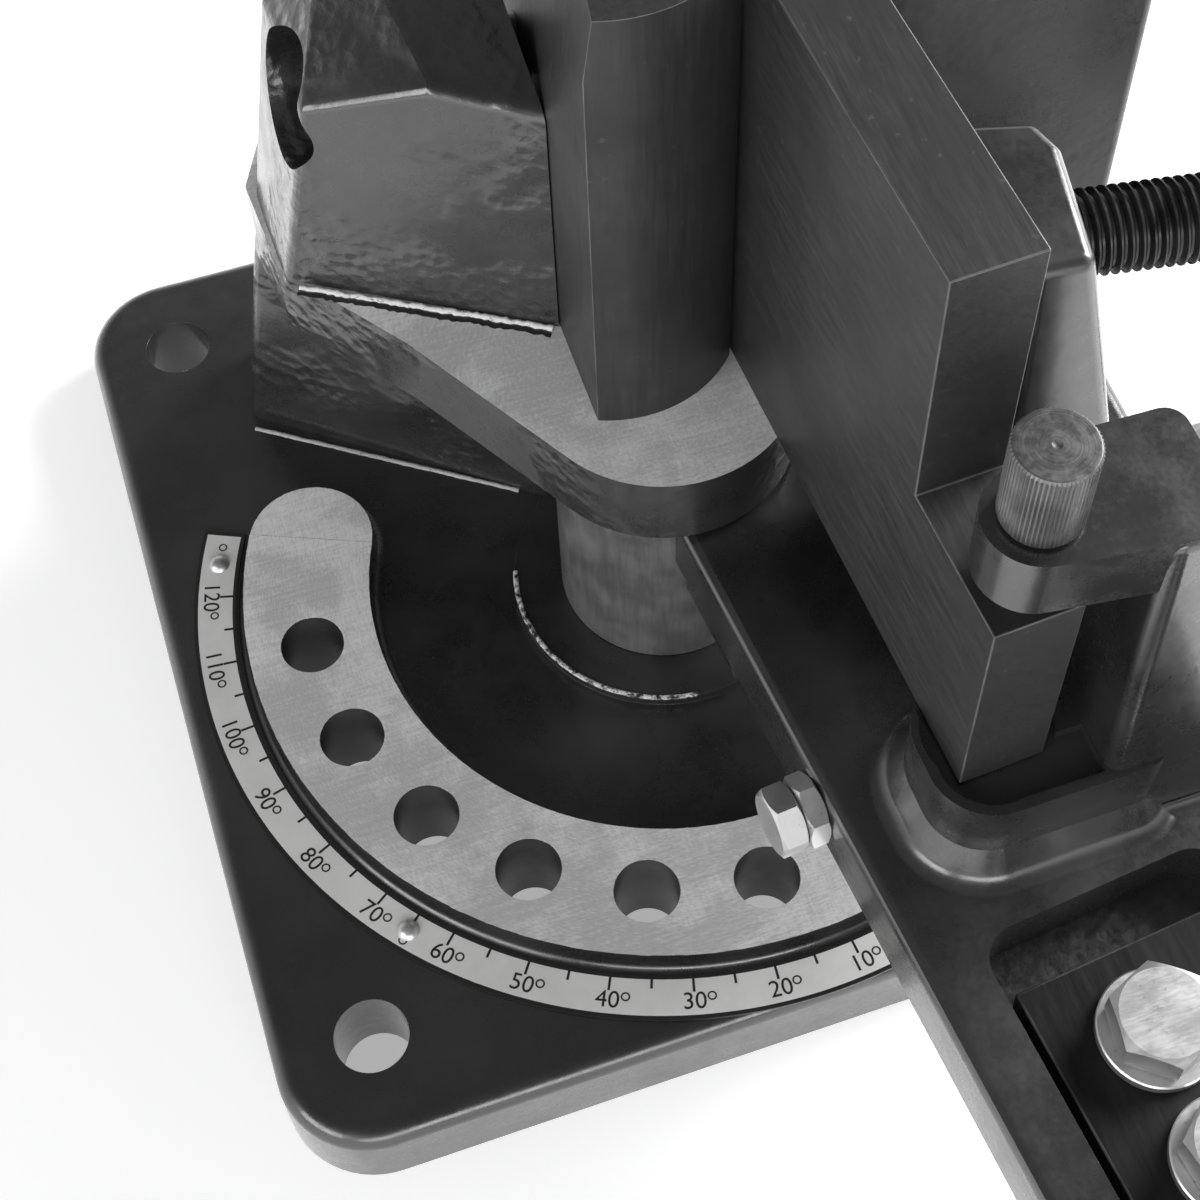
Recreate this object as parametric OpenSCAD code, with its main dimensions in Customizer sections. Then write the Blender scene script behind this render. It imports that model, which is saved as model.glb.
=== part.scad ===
// Bench bending machine: a fixed column with a forming block, and a swing arm that carries
// a set plate round the block's nose up to an angle stop.
// Origin: pivot axis at the underside of the base. +X right, +Y back, +Z up.

/* [Base plate] */
// Width of the base plate
base_w = 238; // [232:1:250]
// Depth of the base plate
base_d = 233; // [230:1:244]
// Thickness of the base plate
base_t = 20; // [16:1:24]
// Plan radius of the base corners
base_corner_r = 20; // [12:1:24]
// Rounding along the top edge of the base
base_edge_r = 4; // [2:0.5:5]
// Offset of the base centre to the right of the pivot
base_shift_x = 5; // [2:1:8]
// Offset of the base centre behind the pivot
base_shift_y = 8; // [6:1:10]
// Diameter of the bench bolt holes
bench_hole_d = 15.7; // [13:0.1:17]
// Bench hole pitch across
bench_pitch_x = 196; // [190:1:200]
// Bench hole pitch front to back
bench_pitch_y = 188; // [184:1:192]
// Radius of the raised collar under the arm
collar_r = 34.5; // [32:0.5:38]
// Height of the raised collar
collar_h = 2.8; // [2:0.1:4]

/* [Angle stops] */
// Radius of the circle of stop holes
stop_circle_r = 82.2; // [80:0.1:84]
// Diameter of the stop holes
stop_hole_d = 14.2; // [13:0.1:15]
// Radial width of the machined pad
pad_w = 28.8; // [24:0.2:30]
// Height of the machined pad above the base
pad_h = 6; // [4:0.5:8]
// Length of the stop pin
stop_pin_l = 76; // [60:1:77]
// Place of the parking hole to the right of the pivot
park_x = 108; // [104:1:110]
// Place of the parking hole in front of the pivot
park_y = 42; // [36:1:48]
// Inner radius of the degree strip
strip_inner_r = 98.9; // [98:0.1:100]
// Radial width of the degree strip
strip_w = 9.7; // [8:0.1:10]
// Thickness of the degree strip
strip_t = 0.8; // [0.5:0.1:1.2]
// Diameter of the strip rivets
rivet_d = 5; // [3:0.5:6]

/* [Pivot] */
// Diameter of the pivot pin
pivot_d = 28; // [24:0.5:32]
// Wall of the bronze bush
bush_wall = 3; // [2:0.5:4]
// Radius of the arm's hub
hub_r = 23.5; // [22:0.5:25]
// Thickness of the thrust washer
thrust_t = 3; // [2:0.5:4]
// Solid base left under the pivot pin
pivot_floor = 6; // [4:0.5:8]

/* [Column] */
// Height of the shelf's underside above the base
shelf_gap = 61; // [58:1:64]
// Thickness of the shelf
shelf_t = 19; // [16:1:22]
// Nose radius of the shelf
shelf_nose_r = 28.5; // [27:0.5:30]
// Reach of the column to the left of the pivot
column_left = 80; // [76:1:84]
// Reach of the column to the right of the pivot
column_right = 105; // [100:1:108]
// Reach of the column behind the pivot
column_back = 92; // [88:1:96]
// Height of the left cheek above the shelf
cheek_h = 77; // [70:1:85]
// Height of the right cheek above the shelf
jaw_h = 100; // [95:1:110]
// Wall of the right cheek along the stock
jaw_wall = 19; // [14:0.5:24]
// Wall of the right cheek's two webs
web_wall = 15; // [12:0.5:18]
// Distance of the right cheek's front face behind the pivot
jaw_front = 10; // [8:0.5:12]
// Width of the slot for the stock
stock_slot = 12; // [8:0.5:14]
// Edge rounding of the castings
cast_r = 3; // [2:0.5:4]
// Diameter of the large hole in the left cheek
cheek_hole_d = 27.6; // [26:0.2:29]
// Distance of that hole behind the pivot
cheek_hole_y = 55; // [53:0.5:57]
// Height of that hole above the shelf
cheek_hole_z = 45.3; // [43:0.1:46]
// Wall left between that hole and the forming block
cheek_seat_wall = 23; // [18:0.5:28]

/* [Forming block] */
// Width of the forming block
block_w = 30.7; // [28:0.1:32]
// Distance of its right side from the pivot axis
block_right = 14.5; // [14:0.1:14.6]
// Height of the forming block
block_h = 111.5; // [105:0.5:115]
// Reach of the forming block behind the pivot
block_back = 78; // [70:1:84]
// Radius of its nose
block_nose_r = 26.9; // [26:0.1:28]
// Distance of the nose centre behind the pivot
block_nose_y = 17.1; // [16.5:0.1:18]
// Diameter of its locating dowels
dowel_d = 8; // [6:0.5:10]

/* [Set plate] */
// Thickness of the set plate
plate_t = 17; // [15:0.5:18]
// Distance of its working face from the pivot axis
plate_face = 15; // [14.9:0.1:15.5]
// Height of the set plate
plate_h = 111; // [105:0.5:114]
// Length of its upper part in front of the pivot
plate_front = 77.4; // [74:0.2:80]
// Length of its foot in front of the pivot
foot_front = 107.2; // [106:0.2:108]
// Height of the foot
foot_h = 53.5; // [50:0.5:56]
// Reach of the plate behind the pivot
plate_rear = 2; // [1:0.5:3]

/* [Swing arm] */
// Thickness of the arm's web
arm_t = 16; // [14:0.5:18]
// Distance of the arm's left side from its centre line
arm_left = 7; // [6:0.5:8]
// Distance of the arm's right side from its centre line
arm_right = 70; // [68:0.5:74]
// Length of the arm in front of the pivot
arm_len = 215; // [205:1:225]
// Edge rounding of the arm
arm_edge = 2.4; // [1.5:0.1:3]
// Place of the hinge pin to the right of the pivot
pin_x = 29.8; // [29.5:0.1:30.2]
// Place of the hinge pin in front of the pivot
pin_y = 97.8; // [97:0.1:98.4]
// Diameter of the hinge pin
pin_d = 10; // [8:0.1:10.4]
// Diameter of the pin's knurled head
pin_head_d = 14.6; // [13:0.2:17]
// Height of the pin's knurled head
pin_head_h = 19.1; // [16:0.2:22]
// Nose radius of the upper lug
lug_nose_r = 9.8; // [9:0.1:10.5]
// Thickness of the upper lug
lug_t = 14.3; // [12:0.1:16]
// Nose radius of the lower boss
boss_nose_r = 14; // [13:0.5:15]
// Height of the lower boss's rim above the arm
boss_h = 22.5; // [21.5:0.1:23.5]
// Height of the spindle tower above the arm
tower_h = 105.5; // [100:0.5:110]

/* [Spindle] */
// Diameter of the spindle
spindle_d = 16; // [14:0.5:18]
// Height of the spindle above the shelf
spindle_z = 67.5; // [64:0.5:72]
// Length of the spindle outside the tower
spindle_out = 74; // [65:1:90]
// Diameter of the spindle's head
head_d = 26; // [24:0.5:30]
// Length of the spindle's head
head_l = 28; // [24:1:32]
// Diameter of the cross bar
bar_d = 12; // [10:0.5:13]
// Length of the cross bar
bar_l = 130; // [110:1:150]
// Diameter of the cross bar's end knobs
knob_d = 19; // [17:0.5:22]
// Diameter of the pressure shoe
shoe_d = 20; // [18:0.5:22]
// Face radius of the pressure shoe
shoe_face_r = 25; // [22:0.5:30]

/* [Hand lever] */
// Width of the lever bar
lever_w = 40; // [36:0.5:44]
// Thickness of the lever bar
lever_t = 8; // [6:0.5:9]
// Length of the lever bar
lever_l = 420; // [360:5:460]
// Distance of the lever bar's inner end from the pivot
lever_start = 139.5; // [136:0.5:142]
// Distance of the first lever bolt from the pivot
lever_bolt_u = 156.5; // [154:0.5:158]
// Spacing of the two lever bolts
lever_bolt_pitch = 25.6; // [25:0.1:30]
// Thread diameter of the lever bolts
bolt_d = 12; // [10:0.5:12.5]
// Length of the grip
grip_l = 130; // [100:1:150]
// Wall of the grip round the bar
grip_wall = 5; // [3:0.5:7]

/* [Hidden] */
$fn = 64;
// Named fits
fit_run = 0.05;
fit_loose = 0.1;
seat_gap = 0.3;
overrun = 1;
sink = 1.5;
// Angles
zero_dir = -75.2;
stop_step = 18;
stop_count = 7;
pad_from = -8;
pad_to = 128;
strip_from = -4;
strip_to = 129.9;
rivet_angles = [65, 125];
arm_dir = 5.4;
plate_dir = 3.17;
spindle_dir = -9.5;
// Facets of a casting's hulled corners
cast_fn = 20;

// Small clearances of the stack
hub_proud = 1.2;
pocket_play = 0.2;
plate_lift = 0.5;
lug_play = 6;
hub_play = 4;
// Heights that follow from the stack
shelf_z = base_t + shelf_gap;
shelf_top = shelf_z + shelf_t;
collar_top = base_t + collar_h;
arm_top = shelf_z - hub_proud - seat_gap;
arm_low = arm_top - arm_t;
boss_top = arm_top + boss_h;
pocket_floor = shelf_top - pocket_play;
plate_low = shelf_top + plate_lift;
lug_low = plate_low + foot_h + lug_play;
lug_top = lug_low + lug_t;
spindle_axis_z = shelf_top + spindle_z;

// Small named sizes
pedestal_h = shelf_gap + 2 * sink;
pocket_r = hub_r + hub_play;
col_screw_d = 12;
col_screw_head_d = 18;
col_screw_head_h = 12;
col_screw_l = 34;
col_screw_play = 0.75;
block_screw_l = 40;
dowel_l = 24;
dowel_depth = 12;
stop_screw_d = 8;
stop_screw_af = 13;
stop_head_h = 5.6;
stop_nut_h = 4.6;
stop_screw_l = 36;
stop_screw_u = 89;
stop_screw_drop = 8;
stop_gap = 0.2;
recess_start = 129;
recess_left = 5.2;
recess_w = 50.4;
recess_corner_r = 7;
recess_rim = 8;
recess_depth = 13;
recess_floor = 12;
lever_off = 3.2;
bolt_af = 18;
bolt_head_h = 7.5;
bolt_nut_h = 10;
bolt_washer_d = 23;
bolt_washer_t = 2.5;
bolt_end = 3;
hole_play = 0.5;
pad_mid_r = stop_circle_r;
boss_skirt = 4.5;
boss_skirt_h = 9;
boss_corner_r = 6;
spine_r = 3;
foot_play = 1.6;
knob_flat = 4;
neck_d = 10;
neck_l = 5;
neck_play = 0.3;
shoe_len = 8;
shoe_recess = 6.5;
shoe_play = 1;
arm_corner_r = 12;
stop_pin_chamfer = 1.2;
pivot_top_wall = 7;
rib_t = 9;
rib_h = 12;
rib_end = 150;
rib_gap = 30;

// Outline tables, as shares of the column's three reaches [left, right, back]
pedestal_front_share = [[-1, 0.80], [0.095, 0.116]];
pedestal_back_share = [-0.90, 1];
pedestal_top_share = [[-0.836, 0.832], [-0.77, 0.967]];
shelf_edge_share = [[-0.5925, 0.2565], [-0.8475, 0.56], [-0.866, 0.826], [-0.79, 0.967]];
shelf_nose_turn = 30;
// Left cheek: [x as a share of the left reach, y as a share of the back reach, z as a share of its height]
cheek_foot_share = [[-0.816, 0.612], [-0.125, 0.26], [-0.125, 0.93], [-0.62, 0.93], [-0.841, 0.79]];
cheek_top_share = [[-0.80, 0.54, 0], [-0.125, 0.187, 0], [-0.69, 0.474, 0.687], [-0.425, 0.339, 0.818],
                   [-0.125, 0.187, 0.783], [-0.125, 0.85, 0.96], [-0.50, 0.85, 0.93],
                   [-0.69, 0.79, 0.687], [-0.55, 0.93, 0.687]];
// Right cheek: heights at its slot and at its outer end as shares of the jaw height
jaw_end_share = 0.66;
jaw_rear_share = 0.80;
// Screws that hold the column: shares of the left, right and back reaches
column_screw_share = [[-0.78, 0.89], [-0.36, 0.62]];
column_screw_right_share = [[0.84, 0.89], [0.84, 0.26]];
// Tower: shares of its height, in the arm's rest place
tower_foot_share = [[0.44, -0.215], [0.725, -0.265], [0.70, -0.60], [0.44, -0.61]];
tower_top_share = [[0.44, -0.275], [0.528, -0.30], [0.541, -0.345], [0.502, -0.555], [0.44, -0.55]];
// Upper lug and spine: shares of the pin's distance in front of the pivot
lug_share = [[0.466, -0.91], [0.573, -0.912], [0.573, -1.094]];
spine_foot_share = [[0.511, -1.144], [0.706, -1.144], [0.706, -0.898], [0.511, -0.898]];
spine_top_share = [[0.511, -1.104], [0.583, -1.104], [0.583, -0.902], [0.511, -0.902]];
boss_share = [[0.56, -1.115], [0.56, -0.918]];
boss_front_share = [0.288, -1.055];
boss_front_r_share = 0.87;

// A plate with round corners in plan and a rounded top edge, made of true cylinders and tori
module soft_slab(w, d, h, corner, edge) {
    module edge_profile(half) {
        translate([-half, 0]) square([2 * half, h - edge]);
        translate([-half + edge, 0]) square([2 * half - 2 * edge, h]);
        for (s = [-1, 1])
            translate([s * (half - edge), h - edge]) circle(r = edge, $fn = 32);
    }
    rotate([90, 0, 0])
        translate([0, 0, -(d / 2 - corner)])
            linear_extrude(height = d - 2 * corner) edge_profile(w / 2);
    rotate([90, 0, 90])
        translate([0, 0, -(w / 2 - corner)])
            linear_extrude(height = w - 2 * corner) edge_profile(d / 2);
    for (sx = [-1, 1], sy = [-1, 1])
        translate([sx * (w / 2 - corner), sy * (d / 2 - corner), 0])
            rotate_extrude($fn = 48)
                intersection() {
                    edge_profile(corner);
                    square([corner, h]);
                }
}

// A casting block: flat foot corners at one height and soft corners above
module cast_block(foot, foot_z, tops, r) {
    hull() {
        for (p = foot)
            translate([p[0], p[1], foot_z]) cylinder(r = r, h = r, $fn = cast_fn);
        for (p = tops)
            translate(p) sphere(r = r, $fn = cast_fn);
    }
}

// A post whose top edge is softened, used as a corner of the arm's outline
module soft_post(r, h, edge) {
    cylinder(r = r, h = h - edge, $fn = 40);
    cylinder(r = r - edge * edge_mid_share, h = h - edge * edge_mid_share, $fn = 40);
    cylinder(r = r - edge, h = h, $fn = 40);
}
edge_mid_share = 0.3;

module hex(af, h) {
    cylinder(r = af / sqrt(3), h = h, $fn = 6);
}

// Places a child at an angle on the scale, counted clockwise from its zero mark
module at_scale(a, r) {
    rotate([0, 0, zero_dir - a]) translate([r, 0, 0]) children();
}

// Arm frame: X runs out along the arm, Y to its right-hand side seen from the column
module arm_frame() {
    rotate([0, 0, -90 + arm_dir]) children();
}
module arm_at(u, w) {
    arm_frame() translate([u, w, 0]) children();
}
module spindle_frame() {
    translate([spindle_x, -spindle_y, spindle_axis_z])
        rotate([0, 0, spindle_dir]) rotate([0, 90, 0]) children();
}
// Where the spindle leaves the tower
spindle_place_share = [0.5877, -0.4028];
spindle_x = tower_h * spindle_place_share[0];
spindle_y = -tower_h * spindle_place_share[1];
// Distance along the spindle to the plate's back, and to the shoe's centre of curvature
plate_n = [cos(plate_dir), sin(plate_dir)];
spindle_v = [cos(spindle_dir), sin(spindle_dir)];
spindle_p = [spindle_x, -spindle_y];
shoe_reach = plate_face + plate_t + seat_gap + shoe_face_r;
shoe_centre = (shoe_reach - plate_n * spindle_p) / (plate_n * spindle_v);
shoe_tip = shoe_centre - shoe_face_r;
shoe_back = shoe_tip + shoe_len;

module base_plate() {
    color("#202224")
    difference() {
        union() {
            translate([base_shift_x, base_shift_y, 0])
                soft_slab(base_w, base_d, base_t, base_corner_r, base_edge_r);
            translate([0, 0, base_t - sink]) cylinder(r = collar_r, h = collar_h + sink, $fn = 96);
            rotate([0, 0, zero_dir - pad_to])
                translate([0, 0, base_t - sink])
                    rotate_extrude(angle = pad_to - pad_from, $fn = 128)
                        translate([pad_mid_r - pad_w / 2, 0]) square([pad_w, pad_h + sink]);
            for (a = [pad_from, pad_to])
                at_scale(a, pad_mid_r)
                    translate([0, 0, base_t - sink])
                        cylinder(r = pad_w / 2 * pad_end_share, h = pad_h * pad_end_share + sink, $fn = 64);
        }
        for (sx = [-1, 1], sy = [-1, 1])
            translate([base_shift_x + sx * bench_pitch_x / 2,
                       base_shift_y + sy * bench_pitch_y / 2, -overrun])
                cylinder(d = bench_hole_d, h = base_t + 2 * overrun, $fn = 48);
        for (i = [0 : stop_count - 1])
            at_scale(i * stop_step, stop_circle_r)
                translate([0, 0, -overrun])
                    cylinder(d = stop_hole_d, h = base_t + pad_h + 2 * overrun, $fn = 48);
        translate([park_x, -park_y, base_t * park_floor_share])
            cylinder(d = stop_hole_d, h = base_t, $fn = 48);
        translate([0, 0, pivot_floor])
            cylinder(d = pivot_d + 2 * fit_run, h = base_t + collar_h, $fn = 72);
        for (p = column_screw_places()) {
            translate([p[0], p[1], -overrun]) {
                cylinder(d = col_screw_d + 2 * col_screw_play, h = base_t + 2 * overrun, $fn = 32);
                cylinder(d = col_screw_head_d + 2 * col_screw_play,
                         h = col_screw_head_h + seat_gap + overrun, $fn = 32);
            }
        }
    }
}
park_floor_share = 0.2;
// Radius and height of the pad's round ends as a share of the pad's own
pad_end_share = 0.994;

function column_screw_places() = concat(
    [for (s = column_screw_share) [s[0] * column_left, s[1] * column_back]],
    [for (s = column_screw_right_share) [s[0] * column_right, s[1] * column_back]]);

module degree_scale() {
    color("#e8e8e6")
    difference() {
        rotate([0, 0, zero_dir - strip_to])
            translate([0, 0, base_t])
                rotate_extrude(angle = strip_to - strip_from, $fn = 180)
                    translate([strip_inner_r, 0]) square([strip_w, strip_t]);
        for (a = rivet_angles)
            at_scale(a, strip_inner_r + strip_w / 2)
                translate([0, 0, base_t - overrun])
                    cylinder(d = rivet_d * rivet_shank_share + 2 * fit_run, h = 2 * overrun, $fn = 24);
    }
}
rivet_shank_share = 0.5;
rivet_dome_share = 0.30;

module scale_rivets() {
    color("#c9c9c7")
    for (a = rivet_angles)
        at_scale(a, strip_inner_r + strip_w / 2)
            translate([0, 0, base_t]) {
                cylinder(d = rivet_d * rivet_shank_share,
                         h = strip_t + rivet_d * rivet_dome_share / 2, $fn = 24);
                translate([0, 0, strip_t])
                    intersection() {
                        translate([0, 0, rivet_d * (rivet_dome_share - rivet_ball_share)])
                            sphere(r = rivet_d * rivet_ball_share, $fn = 32);
                        cylinder(d = rivet_d, h = rivet_d, $fn = 32);
                    }
            }
}
rivet_ball_share = 0.567;

module column() {
    left_x = block_right - block_w - seat_gap;
    slot_x = block_right + stock_slot;
    cheek_foot = [for (s = cheek_foot_share) [s[0] * column_left, s[1] * column_back]];
    cheek_tops = [for (s = cheek_top_share)
                  [s[0] * column_left, s[1] * column_back, shelf_top + s[2] * cheek_h]];
    front = [for (s = pedestal_front_share) [s[0] * column_left, s[1] * column_back]];
    back = [pedestal_back_share[0] * column_left, pedestal_back_share[1] * column_back];
    top = [for (s = pedestal_top_share) [s[0] * column_left, s[1] * column_back]];
    pedestal_top = base_t + pedestal_h - cast_r;
    right_x = column_right - cast_r;
    jaw_top = shelf_top + jaw_h - cast_r;
    jaw_rear_z = shelf_top + jaw_h * jaw_rear_share;
    jaw_x = [slot_x + cast_r, slot_x + jaw_wall - cast_r];
    jaw_y = [jaw_front + cast_r, column_back - cast_r];
    color("#26282b")
    difference() {
        union() {
            // Pedestal, drawn in towards its top
            cast_block([[front[0][0] + cast_r, front[0][1] + cast_r], [front[1][0], jaw_front + cast_r],
                        [right_x, jaw_front + cast_r], [right_x, column_back], back],
                       base_t,
                       [[top[0][0], top[0][1], pedestal_top],
                        [front[1][0], jaw_front + cast_r, pedestal_top],
                        [right_x, jaw_front + cast_r, pedestal_top],
                        [right_x, column_back - cast_r, pedestal_top],
                        [top[1][0], top[1][1], pedestal_top]], cast_r);
            // Shelf with its round nose
            translate([0, 0, shelf_z])
                linear_extrude(height = shelf_t) shelf_outline(slot_x);
            // Left cheek
            intersection() {
                cast_block(cheek_foot, shelf_z, cheek_tops, cast_r);
                translate([-2 * column_left + left_x, -column_back, shelf_z])
                    cube([2 * column_left, 3 * column_back, 2 * jaw_h + shelf_t]);
            }
            // Right cheek: wall along the stock and two webs
            cast_block([for (x = jaw_x, y = jaw_y) [x, y]], shelf_z,
                       concat([for (x = jaw_x) [x, jaw_y[0], jaw_top]],
                              [for (x = jaw_x) [x, jaw_y[1], jaw_rear_z]]), cast_r);
            cheek_web(slot_x, jaw_front, column_right, jaw_top, shelf_top + jaw_h * jaw_end_share);
            cheek_web(slot_x, column_back - web_wall, column_right * rear_web_share,
                      jaw_rear_z, shelf_top + jaw_h * rear_web_end_share);
        }
        // Room for the collar and the hub, and the blind seat of the pivot pin
        translate([0, 0, base_t - overrun]) {
            cylinder(r = collar_r + collar_play, h = collar_h + collar_play + overrun, $fn = 96);
            cylinder(r = pocket_r, h = shelf_gap + overrun, $fn = 96);
        }
        translate([0, 0, base_t])
            cylinder(d = pivot_d + 2 * fit_run, h = shelf_gap + shelf_t - pivot_top_wall, $fn = 72);
        // Large hole through the left cheek with a seat for the block's screw
        translate([-2 * column_left, cheek_hole_y, shelf_top + cheek_hole_z])
            rotate([0, 90, 0])
                cylinder(d = cheek_hole_d, h = 2 * column_left + left_x - cheek_seat_wall, $fn = 64);
        translate([-column_left, cheek_hole_y, shelf_top + cheek_hole_z])
            rotate([0, 90, 0]) cylinder(d = col_screw_d + 2 * hole_play, h = column_left, $fn = 32);
        for (p = column_screw_places())
            translate([p[0], p[1], base_t - overrun])
                cylinder(d = col_screw_d + 2 * fit_run,
                         h = col_screw_l - base_t + col_screw_head_h + 2 * overrun, $fn = 32);
        for (y = dowel_places())
            translate([block_right - block_w / 2, y, shelf_top - dowel_depth])
                cylinder(d = dowel_d + 2 * fit_run, h = dowel_depth + overrun, $fn = 32);
    }
}
collar_play = 0.6;
rear_web_share = 0.80;
rear_web_end_share = 0.42;
function dowel_places() = [block_back * dowel_share[0], block_back * dowel_share[1]];
dowel_share = [0.32, 0.88];

module shelf_outline(slot_x) {
    edge = [for (s = shelf_edge_share) [s[0] * column_left, s[1] * column_back]];
    circle(r = shelf_nose_r, $fn = 96);
    polygon([[-shelf_nose_r * cos(shelf_nose_turn), -shelf_nose_r * sin(shelf_nose_turn)],
             [shelf_nose_r, 0], [shelf_nose_r, jaw_front + cast_r],
             [slot_x + jaw_wall / 2, jaw_front + cast_r],
             [slot_x + jaw_wall / 2, column_back - cast_r],
             edge[3], edge[2], edge[1], edge[0]]);
}

module cheek_web(x0, y0, x1, z0, z1) {
    cast_block([[x0 + cast_r, y0 + cast_r], [x1 - cast_r, y0 + cast_r],
                [x1 - cast_r, y0 + web_wall - cast_r], [x0 + cast_r, y0 + web_wall - cast_r]],
               shelf_z,
               [[x0 + cast_r, y0 + cast_r, z0], [x1 - cast_r, y0 + cast_r, z1],
                [x1 - cast_r, y0 + web_wall - cast_r, z1],
                [x0 + cast_r, y0 + web_wall - cast_r, z0]], cast_r);
}

module socket_screw(d, head_d, head_h, l) {
    difference() {
        union() {
            cylinder(d = head_d, h = head_h, $fn = 40);
            translate([0, 0, head_h - overrun]) cylinder(d = d, h = l + overrun, $fn = 32);
        }
        translate([0, 0, -overrun]) hex(d * socket_af_share, head_h * socket_deep_share + overrun);
    }
}
socket_af_share = 0.833;
socket_deep_share = 0.5;

module column_screws() {
    color("#3b3d40")
    for (p = column_screw_places())
        translate([p[0], p[1], 0])
            socket_screw(col_screw_d, col_screw_head_d, col_screw_head_h, col_screw_l - fit_loose);
}

module forming_block() {
    color("#55585c")
    difference() {
        intersection() {
            translate([block_right - block_w, -block_nose_r, shelf_top])
                cube([block_w, block_nose_r + block_back, block_h]);
            union() {
                translate([block_right - block_w / 2 - block_nose_shift, block_nose_y, shelf_top])
                    cylinder(r = block_nose_r, h = block_h, $fn = 128);
                translate([block_right - block_w, block_nose_y, shelf_top])
                    cube([block_w, block_back - block_nose_y, block_h]);
            }
        }
        // Slanting relief of the upper left side
        translate([block_right - block_w, block_nose_y - block_w * relief_place_share[0],
                   shelf_top + block_h * relief_place_share[1]])
            rotate([-relief_slope, 0, 0])
                rotate([0, relief_lean, 0])
                    translate([-block_w, -2 * block_h, 0]) cube([block_w, 4 * block_h, 2 * block_h]);
        translate([-column_left + block_right, cheek_hole_y, shelf_top + cheek_hole_z])
            rotate([0, 90, 0])
                cylinder(d = col_screw_d + 2 * fit_run,
                         h = column_left - block_w + block_screw_l - cheek_seat_wall + overrun, $fn = 32);
        for (y = dowel_places())
            translate([block_right - block_w / 2, y, shelf_top - overrun])
                cylinder(d = dowel_d + 2 * fit_run, h = dowel_l - dowel_depth + 2 * overrun, $fn = 32);
    }
}
block_nose_shift = 4.85;
relief_place_share = [0.09, 0.615];
relief_slope = 52.7;
relief_lean = 12;

module block_dowels() {
    color("#8f9296")
    for (y = dowel_places())
        translate([block_right - block_w / 2, y, shelf_top - dowel_depth])
            cylinder(d = dowel_d, h = dowel_l, $fn = 32);
}

module block_screw() {
    head_x = block_right - block_w - seat_gap - cheek_seat_wall - col_screw_head_h;
    color("#3b3d40")
    translate([head_x, cheek_hole_y, shelf_top + cheek_hole_z])
        rotate([0, 90, 0]) socket_screw(col_screw_d, col_screw_head_d, col_screw_head_h, block_screw_l);
}

module pivot_pin() {
    color("#9a9da1")
    translate([0, 0, pivot_floor])
        cylinder(d = pivot_d, h = shelf_z + shelf_t - pivot_top_wall - pivot_floor - seat_gap, $fn = 72);
}

module thrust_washer() {
    color("#b08d4f")
    translate([0, 0, collar_top])
        difference() {
            cylinder(r = thrust_r, h = thrust_t, $fn = 72);
            translate([0, 0, -overrun])
                cylinder(d = pivot_d + 2 * fit_loose, h = thrust_t + 2 * overrun, $fn = 72);
        }
}
thrust_lip = 1.5;
thrust_r = pivot_d / 2 + bush_wall + thrust_lip;

module stop_pin() {
    color("#b9bcc0")
    translate([park_x, -park_y, base_t * park_floor_share])
        rotate_extrude($fn = 48)
            polygon([[0, 0], [stop_hole_d / 2 - fit_loose - stop_pin_chamfer, 0],
                     [stop_hole_d / 2 - fit_loose, stop_pin_chamfer],
                     [stop_hole_d / 2 - fit_loose, stop_pin_l - stop_pin_chamfer],
                     [stop_hole_d / 2 - fit_loose - stop_pin_chamfer, stop_pin_l], [0, stop_pin_l]]);
}

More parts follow.
